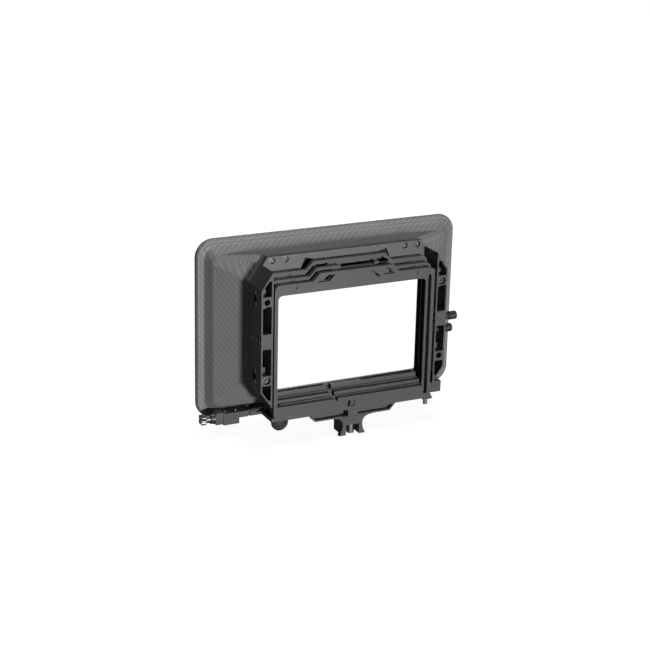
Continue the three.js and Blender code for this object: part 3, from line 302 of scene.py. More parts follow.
def make_carbon():
    """Matte carbon twill in clear resin. The weave follows the piece's own map, and warp tows on top get a
    painted sheen, lighter than the weft.
    """
    material, tree, surface = new_material("matte carbon twill")
    weave_map = add(tree, "ShaderNodeUVMap", -900, 0, uv_map="Weave")
    wander = add(tree, "ShaderNodeTexNoise", -900, -250, in_Scale=14.0, in_Detail=1.0)
    place = add(tree, "ShaderNodeTexCoord", -1100, -250)
    tree.links.new(place.outputs["Object"], wander.inputs["Vector"])
    drift = add(tree, "ShaderNodeVectorMath", -700, -200, operation="MULTIPLY")
    drift.inputs[1].default_value = (TOW_DRIFT, TOW_DRIFT, 0.0)
    tree.links.new(wander.outputs["Color"], drift.inputs[0])
    pulled = add(tree, "ShaderNodeVectorMath", -520, 0, operation="ADD")
    tree.links.new(weave_map.outputs[0], pulled.inputs[0])
    tree.links.new(drift.outputs[0], pulled.inputs[1])
    weave = place_group(tree, twill, -300, 0, Tow_Width=TOW_WIDTH)
    tree.links.new(pulled.outputs[0], weave.inputs["Weave Map"])
    grain = place_group(tree, blast_grain, -300, -350, Grain_Scale=3000.0, Cloud_Scale=40.0)
    # Painted sheen: warp tows on top are lighter than weft tows
    tow_sheen = maths(tree, "MULTIPLY_ADD", 0, 200, weave.outputs["Warp On Top"], 0.26, 0.34)
    fibres = maths(tree, "MULTIPLY_ADD", 0, 0, weave.outputs["Fibres"], 0.25, tow_sheen)
    clouds = maths(tree, "MULTIPLY_ADD", 0, -200, grain.outputs["Clouds"], 0.3, -0.15)
    tone = maths(tree, "ADD", 200, 100, fibres, clouds, clamp=True)
    crown = maths(tree, "MULTIPLY_ADD", 200, -60, weave.outputs["Height"], 0.5, 0.5)
    seen = maths(tree, "MULTIPLY", 350, 100, tone, crown, clamp=True)
    colour = blend_colour(tree, 520, 150, seen, CARBON_DARK, CARBON_LIGHT)
    tree.links.new(colour, surface.inputs["Base Color"])
    tree.links.new(blend_value(tree, 520, -100, seen, 0.62, 0.46), surface.inputs["Roughness"])
    surface.inputs["Coat Weight"].default_value = 0.12
    surface.inputs["Coat Roughness"].default_value = 0.45
    add_bump(tree, surface, weave.outputs["Height"], WEAVE_DEPTH)
    return material


CARBON_DARK = (0.085, 0.085, 0.085, 1.0)
CARBON_LIGHT = (0.250, 0.249, 0.247, 1.0)
STAINLESS = ((0.42, 0.41, 0.40, 1.0), (0.74, 0.73, 0.71, 1.0))
# The near-black of the painted shade on recess floors
PAINTED_SHADE_BLACK = (0.006, 0.006, 0.006, 1.0)

anodised = make_anodised(
    "black anodised aluminium", (0.066, 0.063, 0.060, 1.0), (0.094, 0.090, 0.086, 1.0),
    (0.30, 0.29, 0.28, 1.0), 0.42, 0.56, 0.35, 0.8)
# The plate gets a lighter copy of the anodised finish: painted light, standing in for the brighter reflection
# on the plate
plate_anodised_painted_light = make_anodised(
    "anodised plate with painted light", (0.092, 0.089, 0.086, 1.0), (0.128, 0.124, 0.120, 1.0),
    (0.26, 0.25, 0.245, 1.0), 0.42, 0.56, 0.35, 0.6)
# Painted shade: a near-black finish for recess floors where no light reaches
painted_recess_shade = make_anodised(
    "painted shade in recesses", (0.004, 0.004, 0.004, 1.0), PAINTED_SHADE_BLACK, PAINTED_SHADE_BLACK, 0.7, 0.9, 0.0, 0.0)
black_turned = make_turned_metal(
    "black oxide steel", (0.035, 0.034, 0.034, 1.0), (0.085, 0.083, 0.081, 1.0), 0.3, 0.5, 0.6, 0)
black_wheel = make_turned_metal(
    "black oxide wheel", (0.03, 0.03, 0.03, 1.0), (0.085, 0.083, 0.081, 1.0), 0.3, 0.48, 0.6, 1)
bright_x = make_turned_metal("bright stainless along x", *STAINLESS, 0.18, 0.36, 1.0, 0)
bright_z = make_turned_metal("bright stainless along z", *STAINLESS, 0.18, 0.36, 1.0, 2)
dull_x = make_turned_metal(
    "worn steel along x", (0.10, 0.098, 0.095, 1.0), (0.36, 0.355, 0.35, 1.0), 0.24, 0.4, 1.0, 0)
dull_y = make_turned_metal(
    "worn steel along y", (0.16, 0.158, 0.155, 1.0), (0.34, 0.335, 0.33, 1.0), 0.22, 0.4, 1.0, 1)
dull_z = make_turned_metal(
    "worn steel along z", (0.20, 0.198, 0.195, 1.0), (0.42, 0.415, 0.41, 1.0), 0.22, 0.4, 1.0, 2)
carbon = make_carbon()


# Pieces

MERGE_REACH = 0.002 * MM
CUT_MERGE_REACH = 0.01 * MM
SLIVER = 0.02 * MM
FLAT_ANGLE = math.radians(0.5)
EDGE_BREAK = 0.36 * MM
EDGE_ANGLE = 32
SMOOTH_PAST_EDGE = 10


def deselect():
    if bpy.context.mode != "OBJECT":
        bpy.ops.object.mode_set(mode="OBJECT")
    bpy.ops.object.select_all(action="DESELECT")


def select_only(piece):
    deselect()
    piece.select_set(True)
    bpy.context.view_layer.objects.active = piece


def open_mesh():
    """Goes into edit mode with the whole mesh selected."""
    bpy.ops.object.mode_set(mode="EDIT")
    bpy.ops.mesh.select_all(action="SELECT")


def close_mesh():
    bpy.ops.object.mode_set(mode="OBJECT")


def dress(piece, material):
    piece.data.materials.clear()
    piece.data.materials.append(material)


def copy_of_node(node):
    """A free copy of a CAD node, its loose triangles merged and its flat faces made whole."""
    select_only(frame["nodes"][node])
    bpy.ops.object.duplicate()
    piece = bpy.context.active_object
    piece.parent = None
    piece.matrix_world = Matrix.Identity(4)
    open_mesh()
    bpy.ops.mesh.remove_doubles(threshold=MERGE_REACH)
    bpy.ops.mesh.dissolve_limited(angle_limit=FLAT_ANGLE)
    close_mesh()
    return piece


def even_shading(piece):
    """Large faces keep their own normal, so they shade evenly up to their small edge breaks."""
    weighted = piece.modifiers.new("even shading", "WEIGHTED_NORMAL")
    weighted.keep_sharp = True
    weighted.weight = 80
    bpy.ops.object.modifier_apply(modifier=weighted.name)


def soften_edges(piece, width, segments, angle):
    """Small machined edge breaks, and smooth shading over everything round."""
    select_only(piece)
    bevel = piece.modifiers.new("edge break", "BEVEL")
    bevel.width = width
    bevel.segments = segments
    bevel.limit_method = "ANGLE"
    bevel.angle_limit = math.radians(angle)
    bevel.harden_normals = False
    bpy.ops.object.modifier_apply(modifier=bevel.name)
    bpy.ops.object.shade_smooth_by_angle(angle=math.radians(angle + SMOOTH_PAST_EDGE))
    even_shading(piece)


def stand_for(piece, node, material):
    """Names a finished piece, gives it its finish, and puts it in the place of a CAD node."""
    piece.name = f"{node}_finished"
    piece.data.name = piece.name
    dress(piece, material)
    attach(piece, body_of_node[node])
    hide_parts(node)


def object_from(mesh):
    """An object of a new mesh, with its faces turned outwards."""
    piece = bpy.data.objects.new(mesh.name, mesh)
    bpy.context.collection.objects.link(piece)
    select_only(piece)
    open_mesh()
    bpy.ops.mesh.normals_make_consistent(inside=False)
    close_mesh()
    return piece


def prism(outline, y0, y1):
    """A closed block from an outline in X and Z, drawn out along Y."""
    count = len(outline)
    points = [(x, y0, z) for x, z in outline] + [(x, y1, z) for x, z in outline]
    faces = [tuple(range(count)), tuple(reversed(range(count, 2 * count)))]
    for k in range(count):
        m = (k + 1) % count
        faces.append((m, k, k + count, m + count))
    mesh = bpy.data.meshes.new("block")
    mesh.from_pydata(points, [], faces)
    mesh.update()
    return object_from(mesh)


def rectangle(x0, x1, z0, z1):
    return (x0, z0), (x1, z0), (x1, z1), (x0, z1)


def combine(piece, outline, y0, y1, operation="DIFFERENCE"):
    """Cuts a block out of a piece, or joins it on, and clears the block away."""
    block = prism(outline, y0, y1)
    select_only(piece)
    change = piece.modifiers.new("shape", "BOOLEAN")
    change.operation = operation
    change.solver = "EXACT"
    change.object = block
    bpy.ops.object.modifier_apply(modifier=change.name)
    block_mesh = block.data
    bpy.data.objects.remove(block)
    bpy.data.meshes.remove(block_mesh)


def join_flat_faces(piece):
    """Joins up what the cuts split, so each flat face is one face again and shades as one."""
    select_only(piece)
    bpy.ops.mesh.customdata_custom_splitnormals_clear()
    open_mesh()
    bpy.ops.mesh.remove_doubles(threshold=CUT_MERGE_REACH)
    bpy.ops.mesh.dissolve_degenerate(threshold=SLIVER)
    bpy.ops.mesh.select_all(action="SELECT")
    bpy.ops.mesh.dissolve_limited(angle_limit=FLAT_ANGLE)
    close_mesh()


def shift_where(piece, test, offset):
    """Moves the points of a piece that pass a test."""
    move = Vector(offset)
    for vertex in piece.data.vertices:
        if test(vertex.co):
            vertex.co += move


def machine_node(node, material, width=EDGE_BREAK, segments=2, angle=EDGE_ANGLE, shape=None):
    """A finished copy of a CAD node: its own shape, its edge breaks, its finish."""
    piece = copy_of_node(node)
    if shape is not None:
        shape(piece)
        join_flat_faces(piece)
    soften_edges(piece, width, segments, angle)
    stand_for(piece, node, material)
    return piece


# Forms read off the photograph. They are on the copies that are seen, and the solids don't have them.

TRAY_COUNT = 3
TRAY_BAR_LIFT = (2.3 * MM, 3.3 * MM, 3.5 * MM)
FLOOR_LIFT = 1.8 * MM
OVERRUN = 1.0 * MM

# Levels of a tray above its lowest face
TRAY_FOOT_TOP = 2.4 * MM
BAR_HEIGHT = 8.6 * MM
BAR_LEVELS = (8.3 * MM, 9.6 * MM)
LEDGE_HEIGHT = 113.0 * MM
LEDGE_DROP = 3.6 * MM
LEDGE_SLACK = 0.2 * MM
HANDLE_BACK = 4.2 * MM

# Cuts in a tray, in its own X, height and depth from its rear face
BOSS_HALF = 14.9 * MM
POCKET_HALF = 72.3 * MM
CUT_FLOOR = 3.0 * MM
BAR_CUT_DEPTH = 5.0 * MM
CHANNEL_START = 68.0 * MM
CHANNEL_OVER = 0.8 * MM
SIDE_NOTCH_REACH = (3.2 * MM, 4.3 * MM, 6.0 * MM)
SIDE_NOTCH_FOOT = 8.2 * MM
SIDE_NOTCH_OVER = 2.0 * MM
HANDLE_CUT_SPANS = ((-12.4 * MM, 20.0 * MM), (23.8 * MM, 33.0 * MM))
HANDLE_CUT_LEVELS = (123.0 * MM, 130.0 * MM)
HANDLE_CUT_DEPTH = 8.0 * MM
SLOT_SPANS = ((-8.5 * MM, 23.9 * MM), (27.4 * MM, 35.0 * MM))
SLOT_LEVELS = (116.0 * MM, 120.5 * MM)
SLOT_DEPTH = 3.8 * MM
BAR_RECESS_SPAN = (21.0 * MM, 67.2 * MM)
BAR_RECESS_LIP = 2.6 * MM
BAR_RECESS_DEPTH = 4.5 * MM
FINGER_LEVELS = (117.75 * MM, 122.65 * MM)

# Each finger cut along X: the two ends of its low edge, then those of its high edge
FINGER_CUTS = (
    (-29.6 * MM, -26.0 * MM, -20.8 * MM, -24.8 * MM),
    (32.8 * MM, 35.6 * MM, 30.6 * MM, 27.6 * MM),
)
FINGER_DEPTHS = (2.0 * MM, 6.2 * MM)
GROOVE = ((13.0 * MM, 121.6 * MM), (21.0 * MM, 115.8 * MM), (22.2 * MM, 117.2 * MM), (14.2 * MM, 123.0 * MM))
GROOVE_DEPTH = 5.0 * MM
NOTCH = (-5.8 * MM, 1.5 * MM, 2.2 * MM, 7.8 * MM)
NOTCH_DEPTH = 4.8 * MM
NOTCH_PLUG = (-2.2 * MM, 1.9 * MM, 1.9 * MM, 8.1 * MM)
NOTCH_PLUG_DEPTHS = (1.3 * MM, 5.2 * MM)


def low_corner(node):
    """The rear and the lowest level of a CAD node, to a hundredth of a millimetre."""
    cad = frame["nodes"][node]
    places = [cad.matrix_world @ vertex.co for vertex in cad.data.vertices]
    return round(min(place.y for place in places), 5), round(min(place.z for place in places), 5)


tray_corners = [low_corner(f"tray_{number}") for number in range(1, TRAY_COUNT + 1)]


def tray_cuts(index, bar_top):
    """What is cut from a tray, in order: outlines with the depths that they run between."""
    notch_end = -BOSS_HALF - SIDE_NOTCH_REACH[index]
    cuts = [
        (rectangle(CHANNEL_START, POCKET_HALF, CUT_FLOOR, bar_top + CHANNEL_OVER), -OVERRUN, BAR_CUT_DEPTH),
        (((-BOSS_HALF, SIDE_NOTCH_FOOT), (-BOSS_HALF, bar_top + SIDE_NOTCH_OVER),
          (notch_end - SIDE_NOTCH_OVER, bar_top + SIDE_NOTCH_OVER), (notch_end, bar_top)),
         -OVERRUN, BAR_CUT_DEPTH),
    ]
    if index == 0:
        low, high = FINGER_LEVELS
        for x0, x1, x2, x3 in FINGER_CUTS:
            cuts.append((((x0, low), (x1, low), (x2, high), (x3, high)), *FINGER_DEPTHS))
        cuts.append((GROOVE, -OVERRUN, GROOVE_DEPTH))
        cuts.append((rectangle(*NOTCH), -OVERRUN, NOTCH_DEPTH))
    elif index == 1:
        for span in HANDLE_CUT_SPANS:
            cuts.append((rectangle(*span, *HANDLE_CUT_LEVELS), -OVERRUN, HANDLE_CUT_DEPTH))
        for side in (-1.0, 1.0):
            ends = sorted(side * end for end in BAR_RECESS_SPAN)
            cuts.append((rectangle(*ends, CUT_FLOOR, bar_top - BAR_RECESS_LIP), -OVERRUN, BAR_RECESS_DEPTH))
    else:
        for span in SLOT_SPANS:
            cuts.append((rectangle(*span, *SLOT_LEVELS), -OVERRUN, SLOT_DEPTH))
    return cuts


def shape_tray(index):
    """The function that gives one tray the forms of the photograph."""
    rear, bottom = tray_corners[index]
    lift = TRAY_BAR_LIFT[index]

    def raised(outline):
        return [(x, z + bottom) for x, z in outline]

    def shape(piece):
        """Raises the bar and the tray's bottom, lowers the ledge behind the handle, then makes the cuts."""
        shift_where(piece, lambda co: BAR_LEVELS[0] < co.z - bottom < BAR_LEVELS[1], (0.0, 0.0, lift))
        shift_where(piece, lambda co: co.z - bottom < TRAY_FOOT_TOP, (0.0, 0.0, FLOOR_LIFT))
        shift_where(piece, lambda co: abs(co.z - bottom - LEDGE_HEIGHT) < LEDGE_SLACK
                    and co.y > rear + HANDLE_BACK, (0.0, 0.0, -LEDGE_DROP))
        for outline, start, end in tray_cuts(index, BAR_HEIGHT + lift):
            combine(piece, raised(outline), rear + start, rear + end)
        if index == 0:
            start, end = NOTCH_PLUG_DEPTHS
            combine(piece, raised(rectangle(*NOTCH_PLUG)), rear + start, rear + end, "UNION")

    return shape


FACING = 0.9
FLOOR_SLACK = 0.6 * MM
SLOT_SLACK = 1.0 * MM


def in_shaded_tray_recess(index, middle, normal):
    """Floors of a tray's narrow recesses, which are black in the photograph and get painted shade."""
    rear, bottom = tray_corners[index]
    depth = middle.y - rear
    height = middle.z - bottom
    if normal.z > FACING and depth > HANDLE_BACK and abs(height - LEDGE_HEIGHT + LEDGE_DROP) < FLOOR_SLACK:
        return True
    if normal.y > -FACING:
        return False
    if index == 1:
        return abs(depth - BAR_RECESS_DEPTH) < LEDGE_SLACK and height < BAR_HEIGHT + TRAY_BAR_LIFT[index]
    low, high = SLOT_LEVELS
    at_slot = low - SLOT_SLACK < height < high + SLOT_SLACK
    return index == 2 and at_slot and abs(depth - SLOT_DEPTH) < LEDGE_SLACK


# The floor under the trays
FLOOR_TOPS_FROM = 24.2 * MM
LUG_CUT = (66.0 * MM, 80.0 * MM, 16.0 * MM, 21.6 * MM)
LUG_CUT_DEPTHS = (-30.0 * MM, 30.0 * MM)
POST_POCKET = (-10.4 * MM, -4.7 * MM, 17.8 * MM, 23.5 * MM)
POST_POCKET_DEPTHS = (-15.0 * MM, -5.7 * MM)


def shape_floor(piece):
    """Raises the floor's tops, cuts the pin lug's underside and the square pocket beside the post."""
    shift_where(piece, lambda co: co.z > FLOOR_TOPS_FROM, (0.0, 0.0, FLOOR_LIFT))
    combine(piece, rectangle(*LUG_CUT), *LUG_CUT_DEPTHS)
    combine(piece, rectangle(*POST_POCKET), *POST_POCKET_DEPTHS)


FLARE_CUT_SPAN = (9.3 * MM, 14.0 * MM)
FLARE_CUT_LEVELS = (-1.0 * MM, 7.5 * MM)
FLARE_CUT_DEPTHS = (-9.2 * MM, 6.0 * MM)


def shape_foot(piece):
    """Cuts the lower flares away behind the foot's rear web."""
    for side in (-1.0, 1.0):
        ends = sorted(side * end for end in FLARE_CUT_SPAN)
        combine(piece, rectangle(*ends, *FLARE_CUT_LEVELS), *FLARE_CUT_DEPTHS)


OPENING_CORNER = Vector((73.3 * MM, 42.4 * MM))
OPENING_RADIUS = 6.0 * MM
TIGHT_RADIUS = 3.0 * MM
CORNER_SLACK = 0.1 * MM
CHAMFER_REACH = 1.0 * MM


def shape_plate(piece):
    """The two lower corners of the plate's opening are tighter."""
    centre = OPENING_CORNER + Vector((-OPENING_RADIUS, OPENING_RADIUS))
    tight = OPENING_CORNER + Vector((-TIGHT_RADIUS, TIGHT_RADIUS))
    for vertex in piece.data.vertices:
        co = vertex.co
        away = Vector((abs(co.x), co.z)) - centre
        outside = away.x < -CORNER_SLACK or away.y > CORNER_SLACK
        if outside or abs(away.length - OPENING_RADIUS) > CHAMFER_REACH:
            continue
        place = tight + away.normalized() * (away.length - OPENING_RADIUS + TIGHT_RADIUS)
        co.x = math.copysign(place.x, co.x)
        co.z = place.y


STAGE_MIDDLE = 96.001 * MM
RING_TOP_POINT = (69.82 * MM, 57.1 * MM)
RING_SIDE_POINT = (78.6 * MM, 39.84 * MM)
RING_SLACK = 0.8 * MM
RING_SHIFT_OUT = 4.8 * MM
RING_SHIFT_UP = 10.8 * MM


def shape_ring(piece):
    """The ring's inner corners lie further out, behind the plate's tighter corners."""
    for side in (-1.0, 1.0):
        for end in (-1.0, 1.0):
            for point, move in ((RING_TOP_POINT, (side * RING_SHIFT_OUT, 0.0, 0.0)),
                                (RING_SIDE_POINT, (0.0, 0.0, end * RING_SHIFT_UP))):
                shift_where(piece, lambda co: abs(co.x - side * point[0]) < RING_SLACK
                            and abs(co.z - STAGE_MIDDLE - end * point[1]) < RING_SLACK, move)


FLAG_END_FROM = 100.0 * MM
FLAG_END_SHIFT = 3.1 * MM
LOCK_KNOB_FROM = 99.0 * MM
LOCK_KNOB_CUT = 1.3 * MM
FLAG_KNOB_FROM = -125.0 * MM
FLAG_KNOB_CUT = 2.2 * MM


def stretch_right_end(piece):
    shift_where(piece, lambda co: co.x > FLAG_END_FROM, (FLAG_END_SHIFT, 0.0, 0.0))


def shorten_lock_knob(piece):
    shift_where(piece, lambda co: co.x > LOCK_KNOB_FROM, (-LOCK_KNOB_CUT, 0.0, 0.0))


def shorten_flag_knob(piece):
    shift_where(piece, lambda co: co.x < FLAG_KNOB_FROM, (FLAG_KNOB_CUT, 0.0, 0.0))


def paint_shade_on_faces(piece, test):
    """Paints shade on the faces that pass a test: they get the near-black finish that stands in for the
    shadow in a recess.
    """
    piece.data.materials.append(painted_recess_shade)
    for polygon in piece.data.polygons:
        if test(polygon.center, polygon.normal):
            polygon.material_index = 1


SLOT_FLOOR_DEPTHS = (9.0 * MM, 10.6 * MM)
SLOT_FLOOR_SPAN = (25.0 * MM, 50.0 * MM)
SLOT_FLOOR_FROM = 140.0 * MM


def in_shaded_finger_slot(middle, normal):
    """Floors of the two finger slots in the front plate, which get painted shade."""
    return (SLOT_FLOOR_DEPTHS[0] < middle.y < SLOT_FLOOR_DEPTHS[1] and middle.z > SLOT_FLOOR_FROM
            and abs(normal.y) > FACING and SLOT_FLOOR_SPAN[0] < abs(middle.x) < SLOT_FLOOR_SPAN[1])


for node in ("rail_left", "rail_right", "flag_clamp_left", "flag_hinge_block"):
    machine_node(node, anodised)
# Each tray gets painted shade on the floors of its narrow recesses
for index in range(TRAY_COUNT):
    tray = machine_node(f"tray_{index + 1}", anodised, shape=shape_tray(index))
    paint_shade_on_faces(tray, lambda middle, normal: in_shaded_tray_recess(index, middle, normal))
for node, shape in (("crossmember", shape_floor), ("foot", shape_foot), ("hood_ring", shape_ring),
                    ("flag_bar", stretch_right_end), ("flag_clamp_right", stretch_right_end)):
    machine_node(node, anodised, shape=shape)
# The plate's finger slot floors get painted shade
paint_shade_on_faces(machine_node("front_plate", plate_anodised_painted_light, shape=shape_plate), in_shaded_finger_slot)

# Turned pieces: the start of the name, finish, edge break, its steps, own shape
TURNED_ANGLE = 35
TURNED_PIECES = (
    ("corner_wheel", black_wheel, 0.15 * MM, 2, None),
    ("wheel_shaft", black_wheel, 0.15 * MM, 2, None),
    ("flag_collar", black_turned, 0.3 * MM, 3, None),
    ("lock_bush", black_turned, 0.3 * MM, 3, None),
    ("lock_knob", black_turned, 0.6 * MM, 4, shorten_lock_knob),
    ("flag_knob", dull_x, 0.3 * MM, 2, shorten_flag_knob),
    ("foot_screw", bright_z, 0.3 * MM, 2, None),
    ("corner_pin", bright_z, 0.4 * MM, 3, None),
    ("hood_screw", dull_y, 0.15 * MM, 2, None),
    ("rail_screw", dull_y, 0.25 * MM, 2, None),
    ("side_screw", bright_x, 0.4 * MM, 3, None),
    ("flag_screw", dull_z, 0.6 * MM, 3, stretch_right_end),
    ("plunger", bright_x, 0.08 * MM, 2, None),
)
for start, material, width, segments, shape in TURNED_PIECES:
    for node in frame["nodes"]:
        if node.startswith(start):
            machine_node(node, material, width, segments, TURNED_ANGLE, shape)


# The hood: its solid's sections made softer, and its rear, lower and left edges as photographed

CAGE_WIDTH = 175.0 * MM
CAGE_HEIGHT = 132.0 * MM
BEVEL_RUN = 14.9 * MM
BEVEL_RISE = 21.5 * MM
FIT = 0.15 * MM
HOOD_REAR = 12.4 * MM
HOOD_WALL = 1.6 * MM
HOOD_WIDTH = 249.0 * MM
HOOD_HEIGHT = 156.0 * MM
HOOD_DROP = 1.5 * MM
HOOD_LEFT_SHIFT = 1.3 * MM
HOOD_LOW_EDGE = 4.0 * MM
HOOD_RADIUS = 16.0 * MM
FLARE_INSET = 12.1 * MM
FLARE_RADIUS = 8.0 * MM
BAND_INSET = 4.7 * MM
NECK_DEPTH = 3.6 * MM
FLARE_DEPTH = 17.0 * MM
BAND_DEPTH = 8.0 * MM
HOOD_DEPTH = 33.0 * MM
NECK_END = HOOD_REAR + NECK_DEPTH
FLARE_END = NECK_END + FLARE_DEPTH
BAND_END = FLARE_END + BAND_DEPTH
HOOD_MOUTH = HOOD_REAR - FIT + HOOD_DEPTH
CORNER_STEPS = 20
CORNER_POINTS = CORNER_STEPS + 1
FILLET_STEPS = 4
LIP_STEP = 0.6 * MM
LIP_GROOVE = 0.5 * MM
LIP_ROUND = 1.5 * MM
MOUTH_ROUND = 1.0 * MM

# The cove between flare and band, its outer point first
COVE_DEPTHS = (FLARE_END + 0.93 * BAND_DEPTH, FLARE_END + 0.45 * BAND_DEPTH)
COVE_INSETS = (0.60 * FLARE_INSET, 0.815 * FLARE_INSET)
COVE_WALLS = (0.7 * HOOD_WALL, 0.85 * HOOD_WALL)

# Fillets between the hood's sections
GROOVE_FILLET = 0.2 * MM
RIM_FILLET = 0.3 * MM
MOUTH_FILLET = 0.5 * MM
LIP_FILLET = 0.7 * MM
COVE_FILLET = 0.8 * MM
BEAD_FILLET = 0.9 * MM
CREASE_FILLET = 1.1 * MM
THROAT_FILLET = 0.4 * MM
LARGEST_FILLET_SHARE = 0.48


def bevel_for(inset):
    """Run and rise of a corner bevel when the cage's outline is drawn in by an inset."""
    length = math.hypot(BEVEL_RUN, BEVEL_RISE)
    run = BEVEL_RUN - inset + inset * (length - BEVEL_RISE) / BEVEL_RUN
    rise = BEVEL_RISE - inset + inset * (length - BEVEL_RUN) / BEVEL_RISE
    return run, rise


def neck_row(depth, inset, fillet):
    run, rise = bevel_for(inset)
    return (depth, CAGE_WIDTH / 2 - inset, CAGE_HEIGHT / 2 - inset, STAGE_MIDDLE, run, rise, 0.0, fillet)


def mouth_row(depth, inset, fillet):
    past_band = min(max((inset - BAND_INSET) / (FLARE_INSET - BAND_INSET), 0.0), 1.0)
    radius = (HOOD_RADIUS - min(inset, BAND_INSET)) * (1.0 - past_band) + FLARE_RADIUS * past_band
    return (depth, HOOD_WIDTH / 2 - inset, HOOD_HEIGHT / 2 - inset, STAGE_MIDDLE - HOOD_DROP,
            radius, radius, 1.0, fillet)


def hood_section(row):
    """The points of one section, corner by corner."""
    depth, half_width, half_height, middle, run, rise, round_share, fillet = row
    points = []
    for corner, (sign_x, sign_z) in enumerate(((1, -1), (1, 1), (-1, 1), (-1, -1))):
        for step in range(CORNER_POINTS):
            share = step / CORNER_STEPS
            along = share if corner % 2 == 0 else 1.0 - share
            angle = along * math.pi / 2
            off_x = run * ((1.0 - along) * (1.0 - round_share) + (1.0 - math.sin(angle)) * round_share)
            off_z = rise * (along * (1.0 - round_share) + (1.0 - math.cos(angle)) * round_share)
            left_shift = HOOD_LEFT_SHIFT * round_share if sign_x < 0 else 0.0
            low_shift = HOOD_LOW_EDGE * round_share if sign_z < 0 else 0.0
            x = sign_x * (half_width - off_x) + left_shift
            z = middle + sign_z * (half_height - off_z) - low_shift
            points.append(Vector((x, depth, z)))
    return points


def rounded_rows(rows):
    """Sections with each crease between three rows turned into a short curve."""
    plain = [hood_section(row) for row in rows]
    loops = []
    for index, row in enumerate(rows):
        here = plain[index]
        before = plain[index - 1]
        after = plain[(index + 1) % len(rows)]
        fillet = row[-1]
        for part in range(FILLET_STEPS + 1):
            share = part / FILLET_STEPS
            loop = []
            for point, back, ahead in zip(here, before, after):
                start = point + (back - point) * min(fillet / (back - point).length, LARGEST_FILLET_SHARE)
                end = point + (ahead - point) * min(fillet / (ahead - point).length, LARGEST_FILLET_SHARE)
                loop.append(start.lerp(point, share).lerp(point.lerp(end, share), share))
            loops.append(loop)
    return loops


def weave_places(loops):
    """For each wall, the length along the skin from the first loop on, measured down one of its corners."""
    places = []
    for wall in range(4):
        probe = wall * CORNER_POINTS + CORNER_POINTS // 2
        lengths = [0.0]
        for before, after in zip(loops, loops[1:]):
            lengths.append(lengths[-1] + (after[probe] - before[probe]).length)
        places.append(lengths)
    return places


def hood_rows():
    """The sections from the rear edge to the mouth, then back along the inside."""
    outer = [
        neck_row(HOOD_REAR, FIT, RIM_FILLET),
        neck_row(NECK_END, FIT, CREASE_FILLET),
        mouth_row(FLARE_END, FLARE_INSET, CREASE_FILLET),
        mouth_row(COVE_DEPTHS[1], COVE_INSETS[1], COVE_FILLET),
        mouth_row(COVE_DEPTHS[0], COVE_INSETS[0], COVE_FILLET),
        mouth_row(BAND_END, BAND_INSET, RIM_FILLET),
        mouth_row(BAND_END - LIP_STEP, BAND_INSET - LIP_GROOVE, GROOVE_FILLET),
        mouth_row(BAND_END - LIP_STEP, LIP_ROUND, LIP_FILLET),
        mouth_row(BAND_END + LIP_ROUND, 0.0, BEAD_FILLET),
        mouth_row(HOOD_MOUTH - MOUTH_ROUND, 0.0, MOUTH_FILLET),
        mouth_row(HOOD_MOUTH, MOUTH_ROUND, MOUTH_FILLET),
    ]
    inner = [
        mouth_row(HOOD_MOUTH, BAND_INSET + HOOD_WALL, THROAT_FILLET),
        mouth_row(BAND_END + HOOD_WALL, BAND_INSET + HOOD_WALL, COVE_FILLET),
        mouth_row(COVE_DEPTHS[0] + COVE_WALLS[0], COVE_INSETS[0] + COVE_WALLS[0], COVE_FILLET),
        mouth_row(COVE_DEPTHS[1] + COVE_WALLS[1], COVE_INSETS[1] + COVE_WALLS[1], COVE_FILLET),
        mouth_row(FLARE_END + HOOD_WALL, FLARE_INSET + HOOD_WALL, CREASE_FILLET),
        neck_row(NECK_END + HOOD_WALL, FIT + HOOD_WALL, CREASE_FILLET),
        neck_row(HOOD_REAR, FIT + HOOD_WALL, RIM_FILLET),
    ]
    return outer + inner


def wall_of(place):
    """The wall that a point of a section lies on: 0 low, 1 right, 2 high, 3 left."""
    corner, step = divmod(place, CORNER_POINTS)
    return (corner + 1) % 4 if step >= CORNER_STEPS // 2 else corner


def make_hood():
    """The hood's shell. The weave runs round it and follows each wall from the neck to the mouth."""
    loops = rounded_rows(hood_rows())
    depth_places = weave_places(loops + loops[:1])
    count = len(loops[0])
    points = [tuple(point) for loop in loops for point in loop]
    faces = []
    weave_values = []
    for index in range(len(loops)):
        following = (index + 1) % len(loops)
        for k in range(count):
            m = (k + 1) % count
            here, ahead = index * count, following * count
            faces.append((here + k, ahead + k, ahead + m, here + m))
            wall = wall_of(k)
            upright = wall % 2 == 1
            values = []
            for loop_index, point_index in ((index, k), (following, k), (following, m), (index, m)):
                row = index + 1 if loop_index == following else index
                point = loops[loop_index][point_index]
                across = point.z if upright else point.x
                values.append((across, depth_places[wall][row]))
            weave_values.append(values)
    mesh = bpy.data.meshes.new("hood_shell_finished")
    mesh.from_pydata(points, [], faces)
    mesh.update()
    weave = mesh.uv_layers.new(name="Weave")
    for polygon, values in zip(mesh.polygons, weave_values):
        for loop, value in zip(polygon.loop_indices, values):
            weave.data[loop].uv = value
    piece = object_from(mesh)
    bpy.ops.object.shade_smooth_by_angle(angle=math.radians(40))
    even_shading(piece)
    stand_for(piece, "hood_shell", carbon)


make_hood()


# Studio: a pale floor, soft light and the camera of the photograph

WHITE = (1.0, 1.0, 1.0, 1.0)
FLOOR_SIZE = 30.0
FLOOR_GREY = (0.16, 0.16, 0.16, 1.0)
FLOOR_FADE = (0.1, 1.3)
FLOOR_NEAR = 0.93
FLOOR_GLOSS = 0.08
WORLD_GLOSS = 0.06
WORLD_LEVEL = 0.012
LAMP_TARGET = Vector((0.0, 0.0, 0.1))

